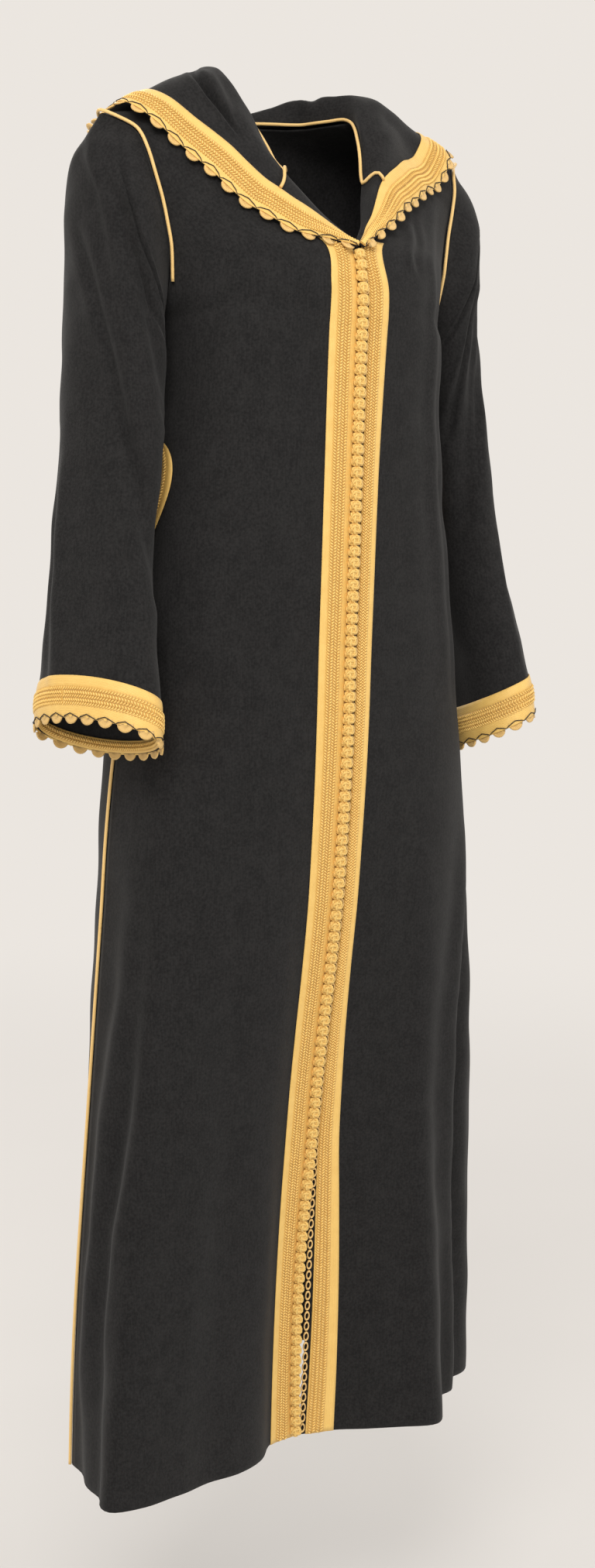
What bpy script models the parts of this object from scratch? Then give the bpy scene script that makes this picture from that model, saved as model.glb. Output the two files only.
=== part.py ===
# A Moroccan hooded kaftan in black cloth with gold braid, filled out as it is worn.
# Metres, +Z up. The front faces -Y and the wearer's left is +X.
# The origin is where the garment is held: at neck height, between the shoulders.

import math
from collections import namedtuple

import bpy
from mathutils import Vector

KAFTAN = "moroccan_kaftan"
RIGHT = -1
LEFT = 1
SIDE_NAMES = {RIGHT: "right", LEFT: "left"}
FRONT = -1
BACK = 1

# Cloth, braid and cord
CLOTH_THICK = 0.0016
BRAID_THICK = 0.0013
CLEARANCE = 0.0003
SEAM_HALF_GAP = 0.0005
SIDE_SEAM_HALF_GAP = 0.0014
PIPING_RADIUS = 0.0016
CORD_LIFT = 0.0007
ARMHOLE_CORD_LIFT = 0.0010
ARMHOLE_CORD_OPEN = 3

# Front opening: knot column in the middle, a flat braid on each side of it. The left one's inner
# part is under the knots, and its outer edge is at LEFT_BRAID_OUTER from the centre line.
BRAID_INNER = {RIGHT: 0.0080, LEFT: 0.0058}
RIGHT_BRAID_OUTER = 0.0385
LEFT_BRAID_HEIGHTS = (-1.335, -1.090, -0.970, -0.850, -0.600, -0.360, -0.240, -0.163)
LEFT_BRAID_OUTER = (0.0370, 0.0320, 0.0275, 0.0228, 0.0240, 0.0258, 0.0300, 0.0290)
NECK_V_HEIGHT = -0.163
SLIT_TOP = -1.050
SLIT_HALF_GAP = 0.0040
HEM_HEIGHT = -1.335
STRIP_END_GAP = 0.0020
KNOT_PITCH = 0.0106
KNOT_HALF_WIDTH = 0.0036
KNOT_NECK_HALF_WIDTH = 0.0021
KNOT_HEIGHT = 0.0062
KNOT_NECK_HEIGHT = 0.0036
KNOT_SHIFT = -0.0003
LOOP_HALF_WIDTH = 0.0024
LOOP_SHIFT = 0.0000
LOOP_HEIGHT = 0.0030

# Where the skirt leaves the torso's own section and takes up the hem's outline
FLARE_TOP = -0.60
FLARE_POWER = 1.1
CURVE_POWER = 3.0
NECK_AXIS_Y = -0.020
UNDERARM_HEIGHT = -0.240
PANEL_COLUMNS = 11
BACK_COLUMNS = 7
SKIRT_ROWS = 18
CHEST_HEIGHTS = (-0.222, -0.198, -0.163, -0.142, -0.112, -0.083, -0.057, -0.036, -0.022, -0.012)

# Body sections, from the hem up. The height is at the centre line, and a row falls by drop
# times the distance from it. width is the distance of the side seam or the armhole from the
# centre line, more by lean on the wearer's left. arm_front and arm_back are the y of the
# front's and the back's edge there, front and back are the y of their centres, and bust
# rounds the front forwards between them. wrap is 1 where the cloth goes right round the
# side. neck_front and neck_back are the distances from
# the centre line at which the neckline cuts the front and the back.
Section = namedtuple(
    "Section",
    "height drop width lean arm_front arm_back front back bust wrap neck_front neck_back")
SECTIONS = (
    Section(HEM_HEIGHT, 0.00, 0.232, 0.000, -0.038, -0.038, -0.105, 0.098, 0, 1.0, 0, 0),
    Section(-1.050, 0.00, 0.222, 0.016, -0.037, -0.037, -0.1185, 0.086, 0, 1.0, 0, 0),
    Section(-0.820, 0.00, 0.206, 0.009, -0.036, -0.036, -0.1465, 0.078, 0, 1.0, 0, 0),
    Section(-0.700, 0.00, 0.199, 0.004, -0.036, -0.036, -0.1485, 0.075, 0, 1.0, 0, 0),
    Section(-0.580, 0.00, 0.187, 0.001, -0.036, -0.036, -0.146, 0.072, 0, 1.0, 0, 0),
    Section(-0.500, 0.00, 0.176, 0.000, -0.036, -0.036, -0.146, 0.067, 0, 1.0, 0, 0),
    Section(-0.420, 0.00, 0.164, 0.000, -0.036, -0.036, -0.146, 0.065, 0, 1.0, 0, 0),
    Section(-0.340, 0.00, 0.153, 0.000, -0.033, -0.033, -0.146, 0.069, 0, 1.0, 0, 0),
    Section(-0.270, 0.00, 0.148, 0.000, -0.026, -0.026, -0.146, 0.076, 0, 1.0, 0, 0),
    Section(UNDERARM_HEIGHT, 0, 0.150, 0.000, -0.022, -0.022, -0.1465, 0.079, 0, 1.0, 0, 0),
    Section(-0.222, 0.02, 0.158, 0.000, -0.046, 0.020, -0.1465, 0.080, 0.002, 0.4, 0, 0),
    Section(-0.198, 0.03, 0.162, 0.000, -0.060, 0.034, -0.1440, 0.080, 0.005, 0.1, 0, 0),
    Section(-0.163, 0.06, 0.165, 0.000, -0.065, 0.039, -0.1315, 0.079, 0.009, 0, 0, 0),
    Section(-0.142, 0.09, 0.168, 0.000, -0.064, 0.040, -0.1140, 0.077, 0.012, 0, 0.0205, 0),
    Section(-0.112, 0.11, 0.174, 0.000, -0.061, 0.039, -0.0895, 0.074, 0.014, 0, 0.0395, 0),
    Section(-0.083, 0.14, 0.181, 0.000, -0.058, 0.035, -0.0730, 0.070, 0.011, 0, 0.0540, 0),
    Section(-0.057, 0.16, 0.187, 0.000, -0.054, 0.027, -0.0610, 0.064, 0.007, 0, 0.0620, 0),
    Section(-0.036, 0.18, 0.192, 0.000, -0.046, 0.015, -0.0490, 0.055, 0.003, 0, 0.068, 0.0005),
    Section(-0.022, 0.20, 0.201, 0.000, -0.035, -0.003, -0.0370, 0.032, 0.001, 0, 0.0735, 0.052),
    Section(-0.012, 0.20, 0.215, 0, -0.0213, -0.0187, -0.0213, -0.0187, 0, 0, 0.0785, 0.0785),
)

# The hem's outline in plan, from the centre to the side seam
HemPoint = namedtuple("HemPoint", "x y")
HEM_FRONT_RIGHT = (
    HemPoint(0.000, -0.104),
    HemPoint(-0.036, -0.107),
    HemPoint(-0.090, -0.147),
    HemPoint(-0.150, -0.150),
    HemPoint(-0.205, -0.160),
    HemPoint(-0.247, -0.163),
    HemPoint(-0.262, -0.140),
    HemPoint(-0.240, -0.095),
    HemPoint(-0.228, -0.040),
)
HEM_FRONT_LEFT = (
    HemPoint(0.000, -0.104),
    HemPoint(0.040, -0.115),
    HemPoint(0.100, -0.147),
    HemPoint(0.136, -0.160),
    HemPoint(0.158, -0.146),
    HemPoint(0.190, -0.104),
    HemPoint(0.232, -0.080),
    HemPoint(0.275, -0.050),
    HemPoint(0.296, -0.010),
)
HEM_BACK_RIGHT = (
    HemPoint(0.000, 0.140),
    HemPoint(-0.045, 0.112),
    HemPoint(-0.090, 0.112),
    HemPoint(-0.118, 0.070),
    HemPoint(-0.160, 0.046),
    HemPoint(-0.192, 0.000),
    HemPoint(-0.228, -0.040),
)
HEM_BACK_LEFT = (
    HemPoint(0.000, 0.140),
    HemPoint(0.050, 0.110),
    HemPoint(0.105, 0.140),
    HemPoint(0.165, 0.104),
    HemPoint(0.218, 0.102),
    HemPoint(0.262, 0.045),
    HemPoint(0.296, -0.010),
)
HEMS = {
    (RIGHT, FRONT): HEM_FRONT_RIGHT,
    (LEFT, FRONT): HEM_FRONT_LEFT,
    (RIGHT, BACK): HEM_BACK_RIGHT,
    (LEFT, BACK): HEM_BACK_LEFT,
}

# Sleeve sections, from the armhole down to the cuff. Each ring joins an outer point and an
# inner point; middle_y and half_depth place its front and back, and toe_in turns its front
# towards the centre line. The cuff's braid covers the last two rings.
SleeveRing = namedtuple("SleeveRing", "outer_x outer_z inner_x inner_z middle_y half_depth toe_in")
SLEEVE_RINGS = (
    SleeveRing(0.229, -0.084, 0.153, -0.262, -0.017, 0.058, 0.02),
    SleeveRing(0.233, -0.122, 0.154, -0.276, -0.018, 0.060, 0.04),
    SleeveRing(0.231, -0.170, 0.156, -0.295, -0.020, 0.060, 0.06),
    SleeveRing(0.234, -0.220, 0.159, -0.318, -0.024, 0.060, 0.08),
    SleeveRing(0.238, -0.275, 0.164, -0.346, -0.030, 0.060, 0.10),
    SleeveRing(0.244, -0.330, 0.171, -0.378, -0.037, 0.059, 0.12),
    SleeveRing(0.250, -0.380, 0.180, -0.415, -0.043, 0.058, 0.14),
    SleeveRing(0.257, -0.430, 0.187, -0.455, -0.048, 0.059, 0.15),
    SleeveRing(0.262, -0.480, 0.191, -0.495, -0.055, 0.062, 0.16),
    SleeveRing(0.267, -0.525, 0.197, -0.535, -0.062, 0.066, 0.17),
    SleeveRing(0.274, -0.581, 0.202, -0.587, -0.073, 0.071, 0.17),
    SleeveRing(0.277, -0.618, 0.205, -0.624, -0.078, 0.073, 0.17),
)
# How far the cuff's outer side and its front are raised above its middle, and how far it drops
CuffTilt = namedtuple("CuffTilt", "outer front drop")
CUFF_TILTS = {
    RIGHT: CuffTilt(0.0155, 0.0055, 0.0000),
    LEFT: CuffTilt(0.0120, 0.0170, 0.0090),
}
CUFF_TILT_RINGS = 4

# Folds pressed into a sleeve, or standing out of it where the depth is below 0. They run
# from one ring and angle to another; angle 0 is the outer side, 90 the front, 180 the inner.
SleeveFold = namedtuple("SleeveFold", "top_ring top_angle end_ring end_angle width depth")
SLEEVE_FOLDS = {
    RIGHT: (
        SleeveFold(0, 40, 4, 118, 24, 0.008),
        SleeveFold(3, -5, 8, 125, 22, 0.009),
        SleeveFold(5, -15, 11, -14, 11, -0.004),
        SleeveFold(4, -62, 11, -44, 20, 0.005),
        SleeveFold(5, 190, 10, 240, 30, 0.006),
    ),
    LEFT: (
        SleeveFold(2, 58, 7, 140, 20, 0.008),
        SleeveFold(4, 20, 9, 66, 18, 0.006),
        SleeveFold(6, 215, 11, 170, 26, 0.007),
        SleeveFold(3, 290, 9, 320, 26, 0.006),
    ),
}

# Hood sections, from the V of the neck round to the centre back. along is the share of the
# neck seam, and roll_out and roll_up lead from the seam to the top of the roll round the
# neck. bearing goes round the neck's axis, 0 in front and 180 behind; twist is how much
# further round the rim lies. The fall, the fold and the rim each have a radius and a height.
# left_roll and left_rise lift the roll and the rim on the wearer's left.
HoodSection = namedtuple(
    "HoodSection",
    "along roll_out roll_up bearing twist fall_radius fall_height fold_radius fold_height "
    "rim_radius rim_height left_roll left_rise")
HOOD_SECTIONS = (
    HoodSection(0.00, 0.003, 0.004, 1, 1, 0.118, -0.160, 0.1195, -0.1615, 0.121, -0.163, 0, 0),
    HoodSection(0.10, 0.003, 0.006, 10, 4, 0.105, -0.145, 0.112, -0.152, 0.120, -0.159, 0, 0.010),
    HoodSection(0.20, 0.003, 0.006, 25, 7, 0.094, -0.118, 0.105, -0.128, 0.131, -0.154, 0, 0.025),
    HoodSection(0.28, 0.003, 0.006, 36, 7, 0.091, -0.099, 0.105, -0.113, 0.135, -0.141, 0, 0.026),
    HoodSection(0.36, 0.003, 0.007, 48, 4, 0.095, -0.079, 0.114, -0.104, 0.139, -0.130, 0, 0.022),
    HoodSection(0.45, 0.003, 0.011, 62, 2, 0.100, -0.049, 0.122, -0.078, 0.148, -0.103, 0, 0.010),
    HoodSection(0.54, 0.002, 0.019, 74, -1, 0.104, -0.024, 0.131, -0.052, 0.161, -0.082, 0, -0.002),
    HoodSection(0.63, 0.002, 0.029, 88, -4, 0.110, -0.003, 0.150, -0.022, 0.193, -0.046, -0.004, 0),
    HoodSection(0.71, 0.003, 0.035, 105, -8, 0.112, -0.008, 0.150, -0.032, 0.191, -0.045, -0.007, 0),
    HoodSection(0.76, 0.005, 0.036, 116, -7, 0.124, -0.022, 0.156, -0.060, 0.188, -0.053, -0.007, 0),
    HoodSection(0.81, 0.006, 0.036, 128, -5, 0.135, -0.050, 0.161, -0.134, 0.189, -0.062, -0.006, 0),
    HoodSection(0.90, 0.008, 0.034, 153, -3, 0.119, -0.115, 0.148, -0.250, 0.168, -0.090, -0.003, 0),
    HoodSection(1.00, 0.008, 0.032, 180, 0, 0.113, -0.170, 0.136, -0.340, 0.160, -0.100, 0, 0),
)
HOOD_COLUMNS = 20
HOOD_ROWS = 11
HOOD_BRAID_WIDTH = 0.037
NECK_CORD_COLUMN = 6
NECK_CORD_ROWS = 8
NECK_CORD_TURN = 0.5
HOOD_SEAM_RISE = 0.0036
HOOD_SEAM_INSET = 0.0006

# Scalloped crochet edging on the hood's rim and the cuffs
HOOD_SCALLOP_PITCH = 0.0215
CUFF_SCALLOP_PITCH = 0.0190
SCALLOP_REACH = 0.0075
SCALLOP_ROOT = 0.0022
SCALLOP_THICK = 0.0022
HOOD_SCALLOP_GAP = 0.0018
CUFF_SCALLOP_GAP = 0.0006

# Side pocket slit, trimmed with braid in the shape of a leaf across the side seam
POCKET_TOP = -0.350
POCKET_BOTTOM = -0.452
POCKET_HALF_WIDTH = 0.024
POCKET_FORWARD = 0.006
POCKET_LIFT = 0.0010
POCKET_STEPS = 8

DENSE_STEPS = 48


def slope_at(keys, values, index):
    """Slope of a table's column at one row, from the rows on both sides of it."""
    low = max(index - 1, 0)
    high = min(index + 1, len(keys) - 1)
    return (values[high] - values[low]) / (keys[high] - keys[low])


def smooth_value(keys, values, at):
    """Value at a key between a table's rows, on a smooth curve through all of them."""
    at = min(max(at, keys[0]), keys[-1])
    index = 0
    while index < len(keys) - 2 and keys[index + 1] < at:
        index += 1
    span = keys[index + 1] - keys[index]
    t = (at - keys[index]) / span
    start = values[index]
    end = values[index + 1]
    leave = slope_at(keys, values, index) * span
    arrive = slope_at(keys, values, index + 1) * span
    return (start * (1 + 2 * t) * (1 - t) ** 2 + leave * t * (1 - t) ** 2
            + end * t * t * (3 - 2 * t) + arrive * t * t * (t - 1))


def smooth_row(table, key, at):
    """A row of the table's own kind, read between its rows."""
    keys = [getattr(row, key) for row in table]
    columns = zip(*table)
    return type(table[0])(*(smooth_value(keys, column, at) for column in columns))


def ease(t):
    """Smooth step from 0 to 1."""
    t = min(max(t, 0.0), 1.0)
    return t * t * (3 - 2 * t)


def lengths_along(points):
    """Distance of each point from the first one, along the line."""
    total = [0.0]
    for a, b in zip(points, points[1:]):
        total.append(total[-1] + (b - a).length)
    return total


def at_distance(points, distances, distance):
    """Point of a line at a distance from its start."""
    distance = min(max(distance, 0.0), distances[-1])
    index = 0
    while index < len(points) - 2 and distances[index + 1] < distance:
        index += 1
    span = distances[index + 1] - distances[index]
    return points[index].lerp(points[index + 1], (distance - distances[index]) / span)


def spread(points, count):
    """The line again, as count + 1 points that are evenly spaced."""
    distances = lengths_along(points)
    return [at_distance(points, distances, distances[-1] * i / count) for i in range(count + 1)]


def torso_curve(height, side, face):
    """A quarter of one body section, from the centre or the neckline to the side."""
    section = smooth_row(SECTIONS, "height", height)
    width = section.width + side * section.lean
    neck = (section.neck_front if face == FRONT else section.neck_back) / width
    centre_y = section.front if face == FRONT else section.back
    edge_y = section.arm_front if face == FRONT else section.arm_back
    power = CURVE_POWER if face == FRONT else 2 + (CURVE_POWER - 2) * (1 - section.wrap)
    points = []
    for i in range(DENSE_STEPS + 1):
        out = math.sin(math.pi / 2 * i / DENSE_STEPS)
        share = min(neck + (1 - neck) * out, 1.0)
        open_bend = share ** CURVE_POWER
        full_bend = 1 - (1 - share ** power) ** (1 / power)
        bend = open_bend + (full_bend - open_bend) * section.wrap
        x = width * share
        y = centre_y + (edge_y - centre_y) * bend
        if face == FRONT:
            y -= section.bust * math.sin(math.pi * out)
        points.append(Vector((side * x, y, section.height - section.drop * x)))
    return spread(points, DENSE_STEPS)


def hem_curve(side, face):
    """The hem's outline over one quarter, from the centre to the side seam."""
    table = HEMS[side, face]
    keys = list(range(len(table)))
    points = []
    for i in range(DENSE_STEPS + 1):
        at = keys[-1] * i / DENSE_STEPS
        x = smooth_value(keys, [point.x for point in table], at)
        y = smooth_value(keys, [point.y for point in table], at)
        points.append(Vector((x, y, HEM_HEIGHT)))
    return spread(points, DENSE_STEPS)


def body_curve(height, side, face):
    """A quarter of the body at one height, with the skirt's flare in it."""
    torso = torso_curve(height, side, face)
    flare = (FLARE_TOP - height) / (FLARE_TOP - HEM_HEIGHT)
    if flare <= 0:
        return torso
    share = flare ** FLARE_POWER
    hem = hem_curve(side, face)
    blended = []
    for inner, outer in zip(torso, hem):
        point = inner.lerp(outer, share)
        point.z = height
        blended.append(point)
    return blended


def slit_half_gap(height):
    """Half the gap between the fronts: a seam above, an open slit in the lower skirt."""
    if height > SLIT_TOP:
        return SEAM_HALF_GAP
    down = (SLIT_TOP - height) / (SLIT_TOP - HEM_HEIGHT)
    return SEAM_HALF_GAP + SLIT_HALF_GAP * math.sin(math.pi * down * 0.92) ** 0.8


def body_heights():
    """Heights of a panel's rows, from the hem to the shoulder."""
    skirt = [HEM_HEIGHT + (UNDERARM_HEIGHT - HEM_HEIGHT) * i / SKIRT_ROWS
             for i in range(SKIRT_ROWS + 1)]
    return skirt + list(CHEST_HEIGHTS)


def braid_outer(height, side):
    """Distance of a front braid's outer edge from the front's edge."""
    if side == RIGHT:
        return RIGHT_BRAID_OUTER
    return smooth_value(LEFT_BRAID_HEIGHTS, LEFT_BRAID_OUTER, height)


def panel_distances(length, side, face, height):
    """Where a panel's columns cut a row, from the centre to the side."""
    if face == FRONT:
        edge = slit_half_gap(height)
        first = [edge, edge + BRAID_INNER[side], edge + braid_outer(height, side)]
        count = PANEL_COLUMNS
    else:
        first = [0.0]
        count = BACK_COLUMNS
    left = count - len(first) + 1
    last = length - SIDE_SEAM_HALF_GAP
    return first + [first[-1] + (last - first[-1]) * (i + 1) / left for i in range(left)]


def panel_grid(side, face):
    """Outer points of a front, or of half the back, row by row from the hem up."""
    grid = []
    for height in body_heights():
        curve = body_curve(height, side, face)
        distances = lengths_along(curve)
        row = [at_distance(curve, distances, d)
               for d in panel_distances(distances[-1], side, face, height)]
        grid.append(row)
    return grid


def grid_normals(grid, turn, ring=False):
    """Outward direction at each point of a grid; turn is 1 or -1."""
    normals = []
    rows = len(grid)
    columns = len(grid[0])
    for r in range(rows):
        line = []
        for c in range(columns):
            if ring:
                across = grid[r][(c + 1) % columns] - grid[r][c - 1]
            else:
                across = grid[r][min(c + 1, columns - 1)] - grid[r][max(c - 1, 0)]
            up = grid[min(r + 1, rows - 1)][c] - grid[max(r - 1, 0)][c]
            line.append((across.cross(up) * turn).normalized())
        normals.append(line)
    return normals


def moved_out(grid, turn, distance, ring=False):
    """The grid's points, each moved outwards by the same distance."""
    normals = grid_normals(grid, turn, ring)
    return [[point + normal * distance for point, normal in zip(row, line)]
            for row, line in zip(grid, normals)]


def new_material(name, colour, roughness):
    """Plain material with the cloth's or the braid's colour."""
    material = bpy.data.materials.new(name)
    material.use_nodes = True
    shader = material.node_tree.nodes["Principled BSDF"]
    shader.inputs["Base Color"].default_value = (*colour, 1.0)
    shader.inputs["Roughness"].default_value = roughness
    shader.inputs["Metallic"].default_value = 0.0
    return material


def add_object(name, points, faces, material):
    """Mesh object with its material, in the kaftan's collection."""
    mesh = bpy.data.meshes.new(name)
    mesh.from_pydata([tuple(point) for point in points], [], faces)
    mesh.materials.append(material)
    mesh.shade_smooth()
    thing = bpy.data.objects.new(name, mesh)
    bpy.data.collections[KAFTAN].objects.link(thing)
    return thing


def grid_faces(rows, columns, turn, ring, first=0):
    """Quads between a grid's points; a ring closes its last column to its first."""
    faces = []
    for r in range(rows - 1):
        for c in range(columns if ring else columns - 1):
            following = (c + 1) % columns
            quad = (first + r * columns + c, first + r * columns + following,
                    first + (r + 1) * columns + following, first + (r + 1) * columns + c)
            faces.append(quad if turn > 0 else quad[::-1])
    return faces


def thicken(thing, thickness, offset):
    """Give an open surface its thickness: offset -1 is inwards, 1 outwards."""
    solid = thing.modifiers.new("thickness", "SOLIDIFY")
    solid.thickness = thickness
    solid.offset = offset
    solid.use_even_offset = False
    return thing


def sheet(name, grid, turn, material, thickness=CLOTH_THICK, offset=-1, ring=False):
    """Cloth or braid as an open grid of points with a thickness."""
    points = [point for row in grid for point in row]
    faces = grid_faces(len(grid), len(grid[0]), turn, ring)
    return thicken(add_object(name, points, faces, material), thickness, offset)


def cord(name, points, radius, material):
    """Sewn cord along a line of points, with closed ends."""
    curve = bpy.data.curves.new(name, "CURVE")
    curve.dimensions = "3D"
    curve.bevel_depth = radius
    curve.bevel_resolution = 1
    curve.use_fill_caps = True
    spline = curve.splines.new("POLY")
    spline.points.add(len(points) - 1)
    for target, point in zip(spline.points, points):
        target.co = (*point, 1.0)
    curve.materials.append(material)
    thing = bpy.data.objects.new(name, curve)
    bpy.data.collections[KAFTAN].objects.link(thing)
    return thing


def back_panel(material):
    """The back in one piece: two half grids that share the centre line below the neck."""
    points = []
    faces = []
    halves = {side: panel_grid(side, BACK) for side in (RIGHT, LEFT)}
    rows = len(halves[RIGHT])
    columns = len(halves[RIGHT][0])
    neck_rows = sum(1 for row in halves[RIGHT] if abs(row[0].x) > SEAM_HALF_GAP * 1.5)
    numbers = {}
    for side in (RIGHT, LEFT):
        for r in range(rows):
            for c in range(columns):
                shared = c == 0 and r < rows - neck_rows
                if shared and side == LEFT:
                    numbers[side, r, c] = numbers[RIGHT, r, c]
                    continue
                point = halves[side][r][c].copy()
                if shared:
                    point.x = 0.0
                numbers[side, r, c] = len(points)
                points.append(point)
        for r in range(rows - 1):
            for c in range(columns - 1):
                quad = (numbers[side, r, c], numbers[side, r, c + 1],
                        numbers[side, r + 1, c + 1], numbers[side, r + 1, c])
                faces.append(quad if side == RIGHT else quad[::-1])
    thing = add_object("back", points, faces, material)
    return thicken(thing, CLOTH_THICK, -1)


def armhole_loop(side):
    """The armhole's edge, from the shoulder down the front and up the back."""
    front = panel_grid(side, FRONT)[SKIRT_ROWS:]
    back = panel_grid(side, BACK)[SKIRT_ROWS:]
    down = [row[-1] for row in reversed(front)]
    up = [row[-1] for row in back]
    down[0] = (down[0] + up[-1]) / 2
    down[-1] = (down[-1] + up[0]) / 2
    return down + up[1:-1]


def loop_centre(loop):
    return sum(loop, Vector()) / len(loop)


def fold_depth(side, ring, angle):
    """How far the folds press the sleeve in at a ring and an angle."""
    depth = 0.0
    for fold in SLEEVE_FOLDS[side]:
        span = fold.end_ring - fold.top_ring
        share = (ring - fold.top_ring) / span
        if not 0.0 <= share <= 1.0:
            continue
        middle = fold.top_angle + (fold.end_angle - fold.top_angle) * share
        away = (angle - middle + 180) % 360 - 180
        swell = math.sin(math.pi * min(max(share, 0.08), 0.92))
        depth += fold.depth * swell * math.exp(-(away / fold.width) ** 2)
    return depth


def sleeve_grid(side):
    """Outer points of a sleeve, ring by ring from the armhole to the cuff's end."""
    loop = armhole_loop(side)
    count = len(loop)
    centre = loop_centre(loop)
    step = Vector((side * 0.0011, 0, -0.0003))
    grid = [[point + step + (centre - point).normalized() * CLEARANCE for point in loop]]
    angles = [360 * i / count for i in range(count)]
    tilt = CUFF_TILTS[side]
    for number, ring in enumerate(SLEEVE_RINGS):
        low = ease(1 - (len(SLEEVE_RINGS) - 2 - number) / CUFF_TILT_RINGS)
        outer = Vector((side * ring.outer_x, ring.middle_y, ring.outer_z))
        inner = Vector((side * ring.inner_x, ring.middle_y, ring.inner_z))
        middle = (outer + inner) / 2
        middle.z -= tilt.drop * low
        across = (outer - inner) / 2
        across.z += tilt.outer * low
        forward = Vector((-side * ring.toe_in, -1, 0)).normalized() * ring.half_depth
        forward.z = tilt.front * low
        row = []
        for angle in angles:
            turned = math.radians(angle)
            shrink = 1 - fold_depth(side, number, angle) / ring.half_depth
            spoke = across * math.cos(turned) + forward * math.sin(turned)
            row.append(middle + spoke * shrink)
        grid.append(row)
    return grid


def neck_edge(side):
    """The neckline on one side, from the V up to the shoulder and round to the back."""
    heights = body_heights()
    front = [row[0] for row, height in zip(panel_grid(side, FRONT), heights)
             if height >= NECK_V_HEIGHT]
    back = [row[0] for row in panel_grid(side, BACK) if abs(row[0].x) > SEAM_HALF_GAP * 0.9]
    back = list(reversed(back))
    end = back[-1].copy()
    end.x = side * SEAM_HALF_GAP
    return front[:-1] + [(front[-1] + back[0]) / 2] + back[1:-1] + [end]


def polar(side, bearing, radius, height):
    """Point round the neck's axis: bearing 0 is in front and 180 behind."""
    turned = math.radians(bearing)
    return Vector((side * radius * math.sin(turned), NECK_AXIS_Y - radius * math.cos(turned), height))


def hood_line(side, section, root):
    """The five points that shape the hood at one section, from the seam to the rim."""
    away = Vector((root.x, root.y - NECK_AXIS_Y, 0)).normalized()
    rise = section.left_rise if side == LEFT else 0.0
    roll_up = section.roll_up + (section.left_roll if side == LEFT else 0.0)
    rim_bearing = section.bearing + section.twist
    return [
        root + Vector((0, 0, HOOD_SEAM_RISE)) - away * HOOD_SEAM_INSET,
        root + away * section.roll_out + Vector((0, 0, roll_up)),
        polar(side, section.bearing, section.fall_radius, section.fall_height + rise * 0.3),
        polar(side, section.bearing, section.fold_radius - rise * 0.3,
              section.fold_height + rise * 0.6),
        polar(side, rim_bearing, section.rim_radius - rise * 0.6, section.rim_height + rise),
    ]


def hood_grid(side):
    """Half of the hood, from the V round to the centre back, each row from seam to rim."""
    seam = neck_edge(side)
    distances = lengths_along(seam)
    grid = []
    for i in range(HOOD_COLUMNS + 1):
        section = smooth_row(HOOD_SECTIONS, "along", i / HOOD_COLUMNS)
        root = at_distance(seam, distances, distances[-1] * section.along)
        line = hood_line(side, section, root)
        if i == HOOD_COLUMNS:
            for point in line:
                point.x = side * SEAM_HALF_GAP
        keys = list(range(len(line)))
        curve = []
        for j in range(DENSE_STEPS + 1):
            at = keys[-1] * j / DENSE_STEPS
            curve.append(Vector([smooth_value(keys, [point[axis] for point in line], at)
                                 for axis in range(3)]))
        total = lengths_along(curve)
        braid = min(HOOD_BRAID_WIDTH, total[-1] * 0.55)
        row = [at_distance(curve, total, (total[-1] - braid) * j / (HOOD_ROWS - 2))
               for j in range(HOOD_ROWS - 1)]
        row.append(at_distance(curve, total, total[-1] - braid / 2))
        row.append(curve[-1])
        grid.append(row)
    return grid


def scallops(name, edge, inside, pitch, gap, material, ring=False):
    """Row of crochet scallops along an edge; inside are the points that it hangs from."""
    ends = [0] if ring else []
    line = edge + [edge[i] for i in ends]
    hangs = [(a - b).normalized() for a, b in zip(edge, inside)]
    hangs += [hangs[i] for i in ends]
    distances = lengths_along(line)
    count = round(distances[-1] / pitch)
    stations = []
    for i in range(count):
        for share, reach in ((0.0, 0.0), (0.24, SCALLOP_REACH), (0.76, SCALLOP_REACH)):
            stations.append(((i + share) / count, reach))
    if not ring:
        stations.append((1.0, 0.0))
    grid = [[], []]
    for share, reach in stations:
        distance = distances[-1] * share
        point = at_distance(line, distances, distance)
        down = at_distance(hangs, distances, distance).normalized()
        root = point + down * gap
        grid[0].append(root)
        grid[1].append(root + down * (SCALLOP_ROOT + reach))
    return sheet(name, grid, 1, material, SCALLOP_THICK, 0, ring)


def knot_strip(material):
    """Column of woven knot buttons on the edge of the wearer's right front."""
    line = front_edge(RIGHT)
    grid = []
    for share, peak in bead_stations(line):
        half = KNOT_HALF_WIDTH if peak else KNOT_NECK_HALF_WIDTH
        height = KNOT_HEIGHT if peak else KNOT_NECK_HEIGHT
        profile = [(math.cos(math.pi * j / 4) * half, math.sin(math.pi * j / 4) * height)
                   for j in range(5)]
        grid.append(placed(profile, share, line, KNOT_SHIFT))
    return bar("knots", grid, material)


def loop_strip(material):
    """Row of cord loops on the edge of the wearer's left front, one round each knot."""
    line = front_edge(LEFT)
    grid = []
    for share, peak in bead_stations(line):
        half = LOOP_HALF_WIDTH if peak else LOOP_HALF_WIDTH * 0.55
        shift = LOOP_HALF_WIDTH - half
        profile = [(half + shift, 0.0), (shift, LOOP_HEIGHT), (shift - half, 0.0)]
        grid.append(placed(profile, share, line, LOOP_SHIFT))
    return bar("loops", grid, material)


def front_edge(side):
    """Points and directions along a front's edge, from the hem up to the V."""
    grid = panel_grid(side, FRONT)
    normals = grid_normals(grid, side)
    last = sum(1 for height in body_heights() if height <= NECK_V_HEIGHT)
    points = [row[0].lerp(row[1], 0.5) for row in grid[:last]]
    outs = [row[0] for row in normals[:last]]
    return points, outs, lengths_along(points)


def bead_stations(line):
    """Shares of the edge's length where a knot is widest, and where two knots meet."""
    length = line[2][-1] - 4 * STRIP_END_GAP
    count = int(length / KNOT_PITCH)
    stations = []
    for i in range(count):
        stations.append((i / count, False))
        stations.append(((i + 0.5) / count, True))
    stations.append((1.0, False))
    return stations


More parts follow.
